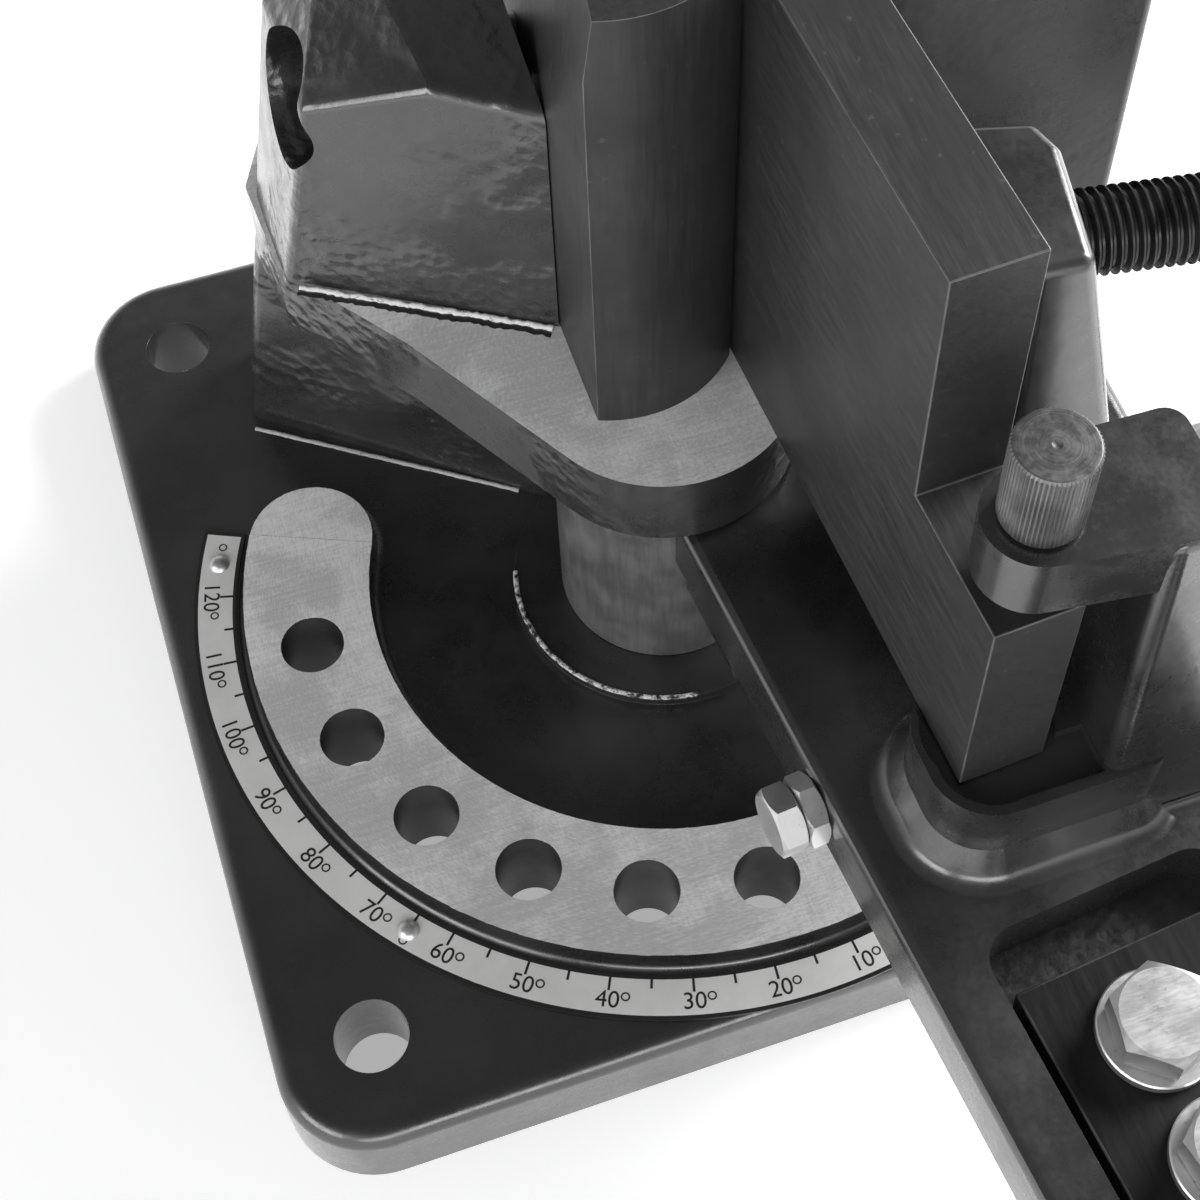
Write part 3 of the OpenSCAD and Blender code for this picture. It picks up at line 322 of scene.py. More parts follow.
# Finishes
class Finish:
    """A material and short ways to lay its pattern."""

    def __init__(self, name, colour, rough, metal=0.0):
        self.mat = bpy.data.materials.new(name)
        self.mat.use_nodes = True
        self.tree = self.mat.node_tree
        self.shader = self.tree.nodes["Principled BSDF"]
        self.shader.inputs["Base Color"].default_value = (*colour, 1.0)
        self.shader.inputs["Roughness"].default_value = rough
        self.shader.inputs["Metallic"].default_value = metal
        self.place = self.tree.nodes.new("ShaderNodeTexCoord").outputs["Object"]

    def gloss(self, level, coat=0.0, coat_rough=0.15):
        """How strongly the surface mirrors its surroundings, with an optional clear top layer."""
        self.shader.inputs["Specular IOR Level"].default_value = level
        self.shader.inputs["Coat Weight"].default_value = coat
        self.shader.inputs["Coat Roughness"].default_value = coat_rough

    def join(self, out, socket):
        self.tree.links.new(out, socket)

    def stretched(self, scale, turn=(0, 0, 0)):
        m = self.tree.nodes.new("ShaderNodeMapping")
        m.inputs["Scale"].default_value = scale
        m.inputs["Rotation"].default_value = [math.radians(t) for t in turn]
        self.join(self.place, m.inputs["Vector"])
        return m.outputs["Vector"]

    def noise(self, scale, detail=3.0, rough=0.55, vector=None):
        n = self.tree.nodes.new("ShaderNodeTexNoise")
        n.inputs["Scale"].default_value = scale
        n.inputs["Detail"].default_value = detail
        n.inputs["Roughness"].default_value = rough
        self.join(vector or self.place, n.inputs["Vector"])
        return n.outputs["Fac"]

    def cells(self, scale):
        n = self.tree.nodes.new("ShaderNodeTexVoronoi")
        n.feature = "SMOOTH_F1"
        n.inputs["Scale"].default_value = scale
        n.inputs["Smoothness"].default_value = 0.4
        self.join(self.place, n.inputs["Vector"])
        return n.outputs["Distance"]

    def calc(self, kind, a, b=None, c=None, clamp=False):
        n = self.tree.nodes.new("ShaderNodeMath")
        n.operation = kind
        n.use_clamp = clamp
        for i, v in enumerate((a, b, c)):
            if v is None:
                continue
            if isinstance(v, (int, float)):
                n.inputs[i].default_value = v
            else:
                self.join(v, n.inputs[i])
        return n.outputs[0]

    def span(self, value, low, high, to_low=0.0, to_high=1.0):
        n = self.tree.nodes.new("ShaderNodeMapRange")
        n.interpolation_type = "SMOOTHSTEP"
        n.inputs["From Min"].default_value = low
        n.inputs["From Max"].default_value = high
        n.inputs["To Min"].default_value = to_low
        n.inputs["To Max"].default_value = to_high
        self.join(value, n.inputs["Value"])
        return n.outputs["Result"]

    def blend(self, share, first, second):
        n = self.tree.nodes.new("ShaderNodeMix")
        n.data_type = "RGBA"
        self.join(share, n.inputs["Factor"])
        for socket, v in ((n.inputs["A"], first), (n.inputs["B"], second)):
            socket = next(s for s in n.inputs if s.type == "RGBA" and s.name == socket.name)
            if isinstance(v, tuple):
                socket.default_value = (*v, 1.0)
            else:
                self.join(v, socket)
        return next(o for o in n.outputs if o.type == "RGBA")

    def edge(self):
        """1 on the worn edges that soften marks, 0 elsewhere."""
        n = self.tree.nodes.new("ShaderNodeAttribute")
        n.attribute_name = "edge"
        return n.outputs["Fac"]

    def polar_place(self, around, outwards, middle=(0.0, 0.0)):
        """The place as angle round a middle and distance out from it, each at its own scale."""
        s = self.tree.nodes.new("ShaderNodeSeparateXYZ")
        self.join(self.place, s.inputs[0])
        x = self.calc("SUBTRACT", s.outputs[0], middle[0] * MM)
        y = self.calc("SUBTRACT", s.outputs[1], middle[1] * MM)
        square = self.calc("ADD", self.calc("MULTIPLY", x, x), self.calc("MULTIPLY", y, y))
        r = self.calc("SQRT", square)
        a = self.calc("ARCTAN2", y, x)
        c = self.tree.nodes.new("ShaderNodeCombineXYZ")
        self.join(self.calc("MULTIPLY", a, around), c.inputs[0])
        self.join(self.calc("MULTIPLY", r, outwards), c.inputs[1])
        return c.outputs[0]

    def relief(self, heights):
        """Stacks bumps: (height, depth in millimetres) pairs."""
        normal = None
        for height, depth in heights:
            b = self.tree.nodes.new("ShaderNodeBump")
            b.inputs["Strength"].default_value = 1.0
            b.inputs["Distance"].default_value = depth * MM
            self.join(height, b.inputs["Height"])
            if normal is not None:
                self.join(normal, b.inputs["Normal"])
            normal = b.outputs["Normal"]
        self.join(normal, self.shader.inputs["Normal"])
        self.join(normal, self.shader.inputs["Coat Normal"])

    def waves(self, axis, per_metre):
        """Even ribs across one axis, from 0 to 1."""
        s = self.tree.nodes.new("ShaderNodeSeparateXYZ")
        self.join(self.place, s.inputs[0])
        turn = self.calc("MULTIPLY", s.outputs[axis], per_metre * 2 * math.pi)
        return self.calc("MULTIPLY_ADD", self.calc("SINE", turn), 0.5, 0.5)

    def colour(self, out):
        self.join(out, self.shader.inputs["Base Color"])

    def rough(self, out):
        self.join(out, self.shader.inputs["Roughness"])


def cast_paint(name, lumps=0.0, tone=0.018, coat=0.55, level=0.9):
    """Thick black gloss paint over a casting, with soft orange peel and rubbed edges."""
    f = Finish(name, (tone, tone, tone * 1.05), 0.3)
    f.gloss(level, coat, 0.16)
    cloud = f.noise(22, 4, 0.6)
    fine = f.noise(900, 3, 0.6)
    peel = f.noise(300, 2, 0.5)
    grime = f.noise(60, 5, 0.65)
    chips = f.span(f.noise(420, 4, 0.7), 0.66, 0.71)
    body = f.blend(f.span(cloud, 0.35, 0.7), (tone * 0.7,) * 3, (tone * 1.6,) * 3)
    # Lighter rubbed paint on marked faces: wear on edges, and on the pedestal foot's fillet a painted
    # highlight
    rubbing = f.span(f.noise(90, 3, 0.5), 0.4, 0.68, 0.15, 0.5)
    rubbed = f.calc("MULTIPLY", f.edge(), rubbing, clamp=True)
    body = f.blend(rubbed, body, (0.10, 0.10, 0.102))
    f.colour(f.blend(f.calc("MULTIPLY", f.edge(), chips, clamp=True), body, (0.34, 0.34, 0.34)))
    f.rough(f.span(f.calc("MULTIPLY_ADD", fine, 0.35, grime), 0.4, 0.95, 0.2, 0.42))
    heights = [(cloud, 0.25), (peel, 0.045 + lumps * 0.03), (fine, 0.012)]
    if lumps:
        patch = f.span(f.noise(30, 3, 0.5), 0.45, 0.6)
        crust = f.calc("MULTIPLY", f.cells(LUMP_SCALE), patch)
        heights.insert(1, (crust, lumps * 0.6))
        swell = f.calc("MULTIPLY", f.noise(LUMP_SCALE * 0.8, 4, 0.65), patch)
        heights.insert(1, (swell, lumps * 0.5))
    f.relief(heights)
    return f.mat


def cast_floor(name, tone=0.014):
    """The pebbly floor of a casting between its machined places, under the same black paint."""
    f = Finish(name, (tone,) * 3, 0.34)
    f.gloss(0.8, 0.6, 0.2)
    pebbles = f.cells(LUMP_SCALE)
    grit = f.noise(700, 4, 0.65)
    cloud = f.noise(40, 4, 0.6)
    f.colour(f.blend(f.span(cloud, 0.35, 0.7), (tone * 0.6,) * 3, (tone * 1.7,) * 3))
    f.rough(f.span(grit, 0.3, 0.7, 0.26, 0.46))
    f.relief([(cloud, 0.2), (pebbles, 0.12), (grit, 0.05)])
    return f.mat


def machined_face(name, tone, around, outwards, rough=0.46):
    """Bare iron, milled and rubbed down: fine marks round the pivot with stray strokes across."""
    f = Finish(name, (tone,) * 3, rough, 0.2)
    turning = f.noise(1.0, 4, 0.7, f.polar_place(around, outwards))
    strokes = f.noise(1.0, 3, 0.7, f.stretched((90, 1500, 40), (0, 0, 28)))
    across = f.noise(1.0, 3, 0.7, f.stretched((1700, 120, 40), (0, 0, -17)))
    cloud = f.noise(38, 4, 0.6)
    stain = f.span(f.noise(75, 4, 0.6), 0.56, 0.76)
    crossed = f.calc("MULTIPLY", f.calc("MULTIPLY", across, 0.35), f.span(cloud, 0.4, 0.6))
    scratch = f.calc("MULTIPLY_ADD", turning, 0.6, f.calc("MULTIPLY_ADD", strokes, 0.4, crossed))
    base = f.blend(f.span(scratch, 0.42, 0.8), (tone * 0.76,) * 3, (tone * 1.18,) * 3)
    base = f.blend(f.calc("MULTIPLY", stain, 0.4), base, (tone * 0.5,) * 3)
    ragged = f.calc("MULTIPLY", f.edge(), f.span(f.noise(260, 5, 0.7), 0.44, 0.5), clamp=True)
    f.colour(f.blend(ragged, base, (0.03, 0.03, 0.031)))
    f.rough(f.span(f.calc("ADD", scratch, cloud), 0.6, 1.5, rough - 0.08, rough + 0.12))
    f.relief([(cloud, 0.05), (scratch, 0.02)])
    return f.mat


def rolled_steel(name, tone, grain, turn=(0, 0, 0), rough=0.42, edge_tone=0.3):
    """Dark ground steel: long grinding lines, smudges, and thin brighter edges."""
    f = Finish(name, (tone,) * 3, rough, 0.6)
    lines = f.noise(1.0, 4, 0.7, f.stretched(grain, turn))
    finer = f.noise(1.0, 3, 0.7, f.stretched([g * 2.6 for g in grain], turn))
    cloud = f.noise(26, 5, 0.6)
    spots = f.span(f.noise(420, 2, 0.5), 0.68, 0.78)
    ground = f.calc("MULTIPLY_ADD", lines, 0.6, f.calc("MULTIPLY", finer, 0.4))
    base = f.blend(f.span(ground, 0.3, 0.75), (tone * 0.75,) * 3, (tone * 1.3,) * 3)
    base = f.blend(f.span(cloud, 0.35, 0.72), base, (tone * 0.6,) * 3)
    base = f.blend(f.calc("MULTIPLY", spots, 0.5), base, (tone * 1.8,) * 3)
    wear_share = f.span(f.noise(110, 4, 0.6), 0.3, 0.65, 0.25, 0.8)
    worn = f.calc("MULTIPLY", f.edge(), wear_share, clamp=True)
    f.colour(f.blend(worn, base, (edge_tone,) * 3))
    f.rough(f.span(f.calc("ADD", ground, cloud), 0.6, 1.4, rough - 0.1, rough + 0.14))
    f.relief([(cloud, 0.04), (ground, 0.012)])
    return f.mat


def turned_steel(name, middle, tone=0.13, rough=0.36):
    """A turned pin: fine rings on its end round its own middle, and fine grain on its side."""
    f = Finish(name, (tone,) * 3, rough, 0.7)
    rings = f.noise(1.0, 3, 0.7, f.polar_place(0.12, 4200.0, middle))
    grain = f.noise(700, 3, 0.6)
    cloud = f.noise(120, 4, 0.6)
    mottle = f.span(f.calc("ADD", rings, cloud), 0.7, 1.3)
    f.colour(f.blend(mottle, (tone * 0.7,) * 3, (tone * 1.5,) * 3))
    f.rough(f.span(grain, 0.3, 0.7, rough - 0.08, rough + 0.12))
    f.relief([(rings, 0.02), (grain, 0.01)])
    return f.mat


def black_oxide(name, tone=0.016, rough=0.34):
    """Oiled black finish on screws and spindle."""
    f = Finish(name, (tone,) * 3, rough, 0.3)
    f.gloss(0.7)
    cloud = f.noise(180, 4, 0.6)
    fine = f.noise(1400, 2, 0.5)
    worn = f.calc("MULTIPLY", f.edge(), f.span(fine, 0.35, 0.6), clamp=True)
    body = f.blend(f.span(cloud, 0.35, 0.7), (tone * 0.7,) * 3, (tone * 1.9,) * 3)
    f.colour(f.blend(worn, body, (0.16,) * 3))
    f.rough(f.span(cloud, 0.3, 0.7, rough - 0.1, rough + 0.12))
    f.relief([(cloud, 0.02), (fine, 0.008)])
    return f.mat


def bright_zinc(name, tone, rough):
    """Bright zinc plate with faint clouds and handling marks."""
    f = Finish(name, (tone, tone, tone * 0.98), rough, 0.9)
    cloud = f.noise(130, 4, 0.6)
    marks = f.noise(1.0, 3, 0.7, f.stretched((300, 2400, 600), (0, 0, 33)))
    pits = f.span(f.noise(700, 2, 0.5), 0.66, 0.75)
    base = f.blend(f.span(cloud, 0.3, 0.75), (tone * 0.92,) * 3, (tone * 1.08,) * 3)
    f.colour(f.blend(f.calc("MULTIPLY", pits, 0.5), base, (tone * 0.45,) * 3))
    f.rough(f.span(f.calc("ADD", cloud, marks), 0.7, 1.4, rough - 0.05, rough + 0.08))
    f.relief([(cloud, 0.02), (marks, 0.008)])
    return f.mat


def plain_metal(name, tones, rough, metal=1.0):
    """Turned metal of one colour: the bronze bush, ground dowels, the arm's hub."""
    f = Finish(name, tones, rough, metal)
    lines = f.noise(1.0, 3, 0.7, f.stretched((700, 700, 60)))
    cloud = f.noise(90, 3, 0.6)
    low = tuple(t * 0.75 for t in tones)
    high = tuple(min(t * 1.2, 1.0) for t in tones)
    f.colour(f.blend(f.span(f.calc("ADD", lines, cloud), 0.7, 1.35), low, high))
    f.rough(f.span(cloud, 0.3, 0.7, rough - 0.07, rough + 0.1))
    f.relief([(lines, 0.012)])
    return f.mat


def enamel(name, tones, rough=0.35):
    """Printed or stoved enamel with a little unevenness."""
    f = Finish(name, tones, rough)
    cloud = f.noise(70, 4, 0.6)
    fine = f.noise(900, 2, 0.5)
    low = tuple(t * 0.9 for t in tones)
    f.colour(f.blend(f.span(cloud, 0.35, 0.7), tones, low))
    f.rough(f.span(fine, 0.3, 0.7, rough - 0.06, rough + 0.08))
    f.relief([(fine, 0.006)])
    return f.mat


def moulded(name, tone=0.02, rough=0.5, grain=0.03, rib=0.0):
    """Moulded grip rubber, with ribs across its length, or knob plastic."""
    f = Finish(name, (tone,) * 3, rough)
    fine = f.noise(1100, 3, 0.6)
    cloud = f.noise(50, 4, 0.6)
    f.colour(f.blend(f.span(cloud, 0.35, 0.7), (tone * 0.8,) * 3, (tone * 1.5,) * 3))
    f.rough(f.span(fine, 0.3, 0.7, rough - 0.08, rough + 0.08))
    heights = [(fine, grain)]
    if rib:
        heights.insert(0, (f.waves(1, 200.0), rib))
    f.relief(heights)
    return f.mat


def torn_paint(name, tone, bare=0.32, rough=0.5):
    """A pale ragged rim, as where paint has broken away along a joint, also used as a painted highlight;
    bare is its share of dark gaps.
    """
    f = Finish(name, (tone,) * 3, rough)
    flakes = f.noise(1.0, 5, 0.75, f.stretched((520, 520, 900)))
    f.colour(f.blend(f.span(flakes, bare, bare + 0.14), (0.02,) * 3, (tone,) * 3))
    f.rough(f.span(flakes, 0.3, 0.7, rough - 0.15, rough + 0.1))
    f.relief([(flakes, 0.25)])
    return f.mat


paint = cast_paint("casting_paint")
paint_rough = cast_paint("rough_casting_paint", lumps=0.65)
# A darker, less glossy copy of the casting paint: painted shade for the column's right wall
paint_dull_shaded = cast_paint("dull_shaded_casting_paint", 0.12, 0.014, 0.0, 0.3)
pebbled = cast_floor("pebbled_casting_floor")
torn = torn_paint("torn_paint_rim", 0.75)
# Pale ragged paint for the pedestal's foot: a painted highlight
foot_highlight_paint = torn_paint("painted_highlight_bead", 0.42, 0.26, 0.25)
# The pale broken bead on the collar rim: a painted highlight
collar_rim_highlight = torn_paint("collar_rim_highlight_paint", 0.7, 0.42, 0.4)
milled_pad = machined_face("milled_pad", 0.80, 60.0, 2600.0)
milled_shelf = machined_face("milled_shelf", 0.80, 30.0, 1500.0)
bore_steel = rolled_steel("drilled_bore", 0.07, (500, 500, 1800), edge_tone=0.5)
block_steel = rolled_steel("block_steel", 0.06, (900, 900, 50), edge_tone=0.2)
plate_steel = rolled_steel("plate_steel", 0.07, (900, 60, 900), (28, 0, 3.2), edge_tone=0.16)
pin_steel = turned_steel("knurled_steel", PIN_AT)
oxide = black_oxide("black_oxide_steel")
zinc = bright_zinc("zinc_plate", 0.66, 0.38)
hub_iron = plain_metal("hub_iron", (0.16, 0.16, 0.16), 0.42, 0.5)
bronze = plain_metal("bush_bronze", (0.50, 0.34, 0.14), 0.32)
dowel_steel = plain_metal("ground_dowel", (0.5, 0.5, 0.5), 0.28)
strip_white = enamel("strip_white", (0.80, 0.80, 0.79))
strip_black = enamel("strip_black", (0.02, 0.02, 0.021))
bar_black = rolled_steel("lever_black", 0.02, (500, 50, 500), (0, 0, 5.4), 0.42, 0.16)
grip_rubber = moulded("grip_rubber", 0.018, 0.6, 0.05, 0.5)
knob_plastic = moulded("knob_plastic", 0.02, 0.28, 0.012)


def paint_faces(bm, index, test):
    """Gives the faces that pass a test the finish of that number."""
    for f in bm.faces:
        if test(f):
            f.material_index = index


# The base with its pad and scale
def sweep_profile(bm, points, middle, turn, steps):
    """A closed bar of one section, spun by turn degrees about an upright line through middle."""
    verts = [bm.verts.new(p) for p in points]
    face = bm.faces.new(verts)
    bmesh.ops.spin(
        bm,
        geom=[face] + face.edges[:] + verts,
        cent=middle,
        axis=(0, 0, 1),
        dvec=(0, 0, 0),
        angle=math.radians(turn),
        steps=steps,
        use_merge=False,
        use_duplicate=False,
    )


def bead_section(start, outwards, reach, height):
    """The section of a fillet at the foot of a wall: hollow, from reach out to height up the wall."""
    low = BASE_TOP - SUNK
    shape = (
        (-0.4, low),
        (reach, low),
        (reach, BASE_TOP + 0.02),
        (reach * 0.45, BASE_TOP + height * 0.16),
        (reach * 0.12, BASE_TOP + height * 0.5),
        (0.0, BASE_TOP + height),
        (-0.4, BASE_TOP + height),
    )
    return [start + outwards * (r * MM) + Vector((0, 0, z * MM)) for r, z in shape]


def dress_base():
    """The base casting with its milled pad and bare bores."""
    bm = merged_copy("base_plate")
    soften(bm, BASE_EDGE, 50, 130)
    stops = [polar(i * STOP_STEP, STOP_CIRCLE_R) for i in range(STOP_COUNT)]
    bench = [Vector((x, y, 0)) * MM for x, y in BENCH_HOLES]

    def in_bore(f):
        c = f.calc_center_median()
        if abs(f.normal.z) > 0.3:
            return False
        if any(abs(math.hypot(c.x - h.x, c.y - h.y) / MM - STOP_HOLE_R) < 0.2 for h in stops):
            return True
        return any(math.hypot(c.x - h.x, c.y - h.y) / MM < BENCH_HOLE_R for h in bench)

    def on_pad(f):
        c = f.calc_center_median()
        return f.normal.z > 0.35 and c.z / MM > PAD_TOP - 0.45

    paint_faces(bm, 1, on_pad)
    paint_faces(bm, 2, in_bore)
    finishes = (paint, milled_pad, bore_steel)
    settle("base_casting", bm, "frame_body", finishes, ("base_plate",))


def dress_pad_foot():
    """The fillet that runs round the pad's foot, thick with paint."""
    bm = bmesh.new()
    span = PAD_TO - PAD_FROM
    outer = STOP_CIRCLE_R + PAD_HALF
    inner = STOP_CIRCLE_R - PAD_HALF
    out = polar(PAD_FROM, 1.0).normalized()
    start = polar(PAD_FROM, outer)
    sweep_profile(bm, bead_section(start, out, 1.9, FOOT_FILLET), (0, 0, 0), -span, 110)
    start = polar(PAD_FROM, inner)
    sweep_profile(bm, bead_section(start, -out, 2.2, FOOT_FILLET), (0, 0, 0), -span, 90)
    for angle, side in ((PAD_FROM, 1.0), (PAD_TO, -1.0)):
        out = polar(angle, 1.0).normalized()
        middle = polar(angle, STOP_CIRCLE_R)
        start = polar(angle, outer)
        sweep_profile(bm, bead_section(start, out, 1.9, FOOT_FILLET), middle, 180.0 * side, 28)
    settle("pad_foot_fillet", bm, "frame_body", (paint,), smooth=60)


def dress_pedestal_foot():
    """The fillet at the pedestal's foot, laid round the outline that the column has on the base; its slope
    takes the paint's rubbed edge colour as a painted highlight.
    """
    column = merged_copy("column")

    def on_sole(f):
        return f.normal.z < -0.9 and abs(f.calc_center_median().z / MM - BASE_TOP) < 0.3

    rim = [e for e in column.edges if sum(on_sole(f) for f in e.link_faces) == 1]
    start = min((v for e in rim for v in e.verts), key=lambda v: v.co.x)
    outline = []
    reached = [start]
    while reached:
        v = reached.pop()
        for e in v.link_edges:
            if e in rim and e not in outline:
                outline.append(e)
                reached.append(e.other_vert(v))
    bm = bmesh.new()
    laid = {}
    for e in outline:
        for v in e.verts:
            if v not in laid:
                laid[v] = bm.verts.new((v.co.x, v.co.y, (BASE_TOP - SUNK) * MM))
        bm.edges.new([laid[v] for v in e.verts])
    column.free()
    bmesh.ops.dissolve_limit(bm, angle_limit=math.radians(2), verts=bm.verts[:], edges=bm.edges[:])
    bmesh.ops.edgeloop_fill(bm, edges=bm.edges[:])
    bmesh.ops.recalc_face_normals(bm, faces=bm.faces[:])
    if bm.faces[:][0].normal.z < 0:
        bmesh.ops.reverse_faces(bm, faces=bm.faces[:])
    bmesh.ops.inset_region(bm, faces=bm.faces[:], thickness=2.2 * MM, depth=0, use_outset=True,
                           use_boundary=True, use_even_offset=True)
    bmesh.ops.dissolve_faces(bm, faces=bm.faces[:], use_verts=True)
    made = bmesh.ops.extrude_face_region(bm, geom=bm.faces[:])
    raised = [g for g in made["geom"] if isinstance(g, bmesh.types.BMVert)]
    bmesh.ops.translate(bm, vec=(0, 0, 0.32 * MM), verts=raised)
    top = max(bm.faces, key=lambda f: f.calc_center_median().z)
    for reach, rise in ((1.1, 0.3), (0.75, 0.7), (0.35, 1.2)):
        bmesh.ops.inset_region(bm, faces=[top], thickness=reach * MM, depth=rise * MM,
                               use_boundary=True, use_even_offset=True)
    # The slanted faces get the rubbed edge colour of the paint: a painted highlight along the foot
    mark = bm.faces.layers.float.new("edge")
    for f in bm.faces:
        if 0.2 < f.normal.z < 0.9:
            f[mark] = 1.0
    settle("pedestal_foot_fillet", bm, "frame_body", (paint,), smooth=60)


def dress_scale():
    """The strip's white face with its marks and numbers; the strip itself shows as a black border."""
    white = bmesh.new()
    r0, r1 = STRIP_INNER + 0.9, STRIP_OUTER - 0.9
    ring_sector(white, r0, r1, STRIP_TOP - 0.05, STRIP_TOP + 0.04, STRIP_FROM + 0.6, STRIP_TO - 0.6, 134)
    settle("scale_face", white, "frame_body", (strip_white,))
    ticks = bmesh.new()
    half = math.degrees(0.26 / STRIP_INNER)
    for a in range(0, 125, 5):
        length = 2.9 if a % 10 == 0 else 2.0
        r0, r1 = STRIP_INNER + 0.8, STRIP_INNER + 0.9 + length
        ring_sector(ticks, r0, r1, STRIP_TOP, STRIP_TOP + PRINT_THICK, a - half, a + half, 1)
    for a, r in RING_PLACES:
        ring_mark(ticks, polar(a, STRIP_INNER + r, STRIP_TOP), RING_R, 0.68)
    settle("scale_ticks", ticks, "frame_body", (strip_black,))
    for a in range(0, 130, 10):
        scale_number(a)


def ring_mark(bm, place, outer, inner):
    """A small printed ring, the sign for degrees."""
    made = bmesh.ops.create_circle(bm, cap_ends=False, segments=28, radius=outer * MM)
    rim = list(dict.fromkeys(e for v in made["verts"] for e in v.link_edges))
    out = bmesh.ops.extrude_edge_only(bm, edges=rim)
    inside = [g for g in out["geom"] if isinstance(g, bmesh.types.BMVert)]
    bmesh.ops.scale(bm, vec=(inner / outer, inner / outer, 1), verts=inside)
    band = [g for g in out["geom"] if isinstance(g, bmesh.types.BMFace)]
    bmesh.ops.recalc_face_normals(bm, faces=band)
    if band[0].normal.z < 0:
        bmesh.ops.reverse_faces(bm, faces=band)
    thick = bmesh.ops.extrude_face_region(bm, geom=band)
    raised = [g for g in thick["geom"] if isinstance(g, bmesh.types.BMVert)]
    bmesh.ops.reverse_faces(bm, faces=band)
    bmesh.ops.translate(bm, vec=(0, 0, PRINT_THICK * MM), verts=raised)
    bmesh.ops.translate(bm, vec=place, verts=list(dict.fromkeys(made["verts"] + inside + raised)))


def scale_number(angle):
    """A printed number of the scale with its degree ring, its head towards the pivot."""
    text = bpy.data.curves.new(f"number_{angle}", "FONT")
    text.body = str(angle)
    text.size = DIGIT_SIZE * MM
    text.align_x = "CENTER"
    text.align_y = "CENTER"
    text.extrude = PRINT_THICK / 2 * MM
    made = bpy.data.objects.new(f"number_text_{angle}", text)
    bpy.context.collection.objects.link(made)
    bpy.context.view_layer.update()
    mesh = bpy.data.meshes.new_from_object(made.evaluated_get(bpy.context.evaluated_depsgraph_get()))
    bpy.data.objects.remove(made)
    bm = bmesh.new()
    bm.from_mesh(mesh)
    right = max(v.co.x for v in bm.verts)
    top = max(v.co.y for v in bm.verts)
    bm.transform(Matrix.Translation((0, 0, 0.04 * MM)))
    ring_mark(bm, Vector((right + 1.25 * MM, top - RING_R * MM, 0)), RING_R, 0.66)
    a = math.radians(ZERO_DIR - angle)
    bm.transform(Matrix.Rotation(a + math.pi / 2, 4, "Z"))
    bm.transform(Matrix.Translation(polar(angle, STRIP_INNER + 5.9, STRIP_TOP)))
    settle(f"scale_number_{angle}", bm, "frame_body", (strip_black,), flip=False)


# Column, block, plate and arm
def dress_column():
    """The column casting with its milled shelf, and a darker, duller copy of its paint on the tall right
    wall, as painted shade.
    """
    bm = merged_copy("column")
    soften(bm, CAST_EDGE, 50, 130)

    def on_shelf(f):
        return f.normal.z > 0.5 and abs(f.calc_center_median().z / MM - SHELF_TOP) < 0.45

    def on_right_wall(f):
        c = f.calc_center_median() / MM
        return c.x > RIGHT_WALL_X and c.z > RIGHT_WALL_Z

    paint_faces(bm, 1, on_shelf)
    paint_faces(bm, 2, on_right_wall)
    finishes = (paint_rough, milled_shelf, paint_dull_shaded)
    settle("column_casting", bm, "frame_body", finishes, ("column",), smooth=24)


def ragged_bar(name, finish, ends, height, off, wide, tall, uneven=0.35):
    """An uneven bar of paint laid along the foot of a wall, off millimetres before it."""
    start, end = (Vector((x, y, height)) * MM for x, y in ends)
    along = (end - start).normalized()
    up = Vector((0, 0, 1))
    out = along.cross(up)
    chance = random.Random(7)
    steps = 60
    bm = bmesh.new()
    made = bmesh.ops.create_circle(bm, cap_ends=True, segments=10, radius=1.0)
    middle = start + out * (off * MM)
    for v in made["verts"]:
        v.co = middle + (out * (v.co.x * wide) + up * (v.co.y * tall)) * MM
    face = bm.faces[:][0]
    size = 1.0
    for i in range(steps):
        grown = bmesh.ops.extrude_face_region(bm, geom=[face])
        if i:
            bmesh.ops.delete(bm, geom=[face], context="FACES_ONLY")
        face = next(g for g in grown["geom"] if isinstance(g, bmesh.types.BMFace))
        verts = [g for g in grown["geom"] if isinstance(g, bmesh.types.BMVert)]
        aside = off + chance.uniform(-0.5, 0.5) * uneven
        target = start + (end - start) * ((i + 1) / steps) + out * (aside * MM)
        share = 1.0 + chance.uniform(-1.0, 1.0) * uneven
        bmesh.ops.translate(bm, vec=target - middle, verts=verts)
        grow = share / size
        bmesh.ops.scale(bm, vec=(grow, grow, grow), verts=verts, space=Matrix.Translation(-target))
        size = share
        middle = target
    settle(name, bm, "frame_body", (finish,), smooth=50)


def dress_cheek_foot():
    """The ragged rim of paint along the foot of the left cheek, and before it a flat dark strip that stands
    for the shade of a hollow: painted shade.
    """
    ragged_bar("cheek_foot_rim", torn, CHEEK_FOOT, SHELF_TOP, 0.5, 0.7, 0.8)
    # A flat dark strip on the shelf in place of a hollow: painted shade
    ragged_bar("cheek_foot_painted_shade", pebbled, CHEEK_FOOT, SHELF_TOP, 1.8, 0.9, 0.12)


def dress_collar_rim():
    """A pale broken bead on the rim of the base's collar, on the side away from the arm: a painted
    highlight, laid as torn paint.
    """
    bm = bmesh.new()
    out = polar(RIM_FROM, 1.0).normalized()
    start = polar(RIM_FROM, COLLAR_R - 0.3, BASE_TOP + COLLAR_H)
    section = [start + (out * math.cos(a) * 0.6 + Vector((0, 0, 1)) * math.sin(a) * 0.5) * MM
               for a in (math.radians(45 * i) for i in range(8))]
    sweep_profile(bm, section, (0, 0, 0), RIM_FROM - RIM_TO, 90)
    settle("collar_rim_highlight_bead", bm, "frame_body", (collar_rim_highlight,), smooth=60)


def dress_block():
    bm = merged_copy("forming_block")
    soften(bm, BLOCK_EDGE, 25, 130)
    settle("forming_block_steel", bm, "frame_body", (block_steel,), ("forming_block",))


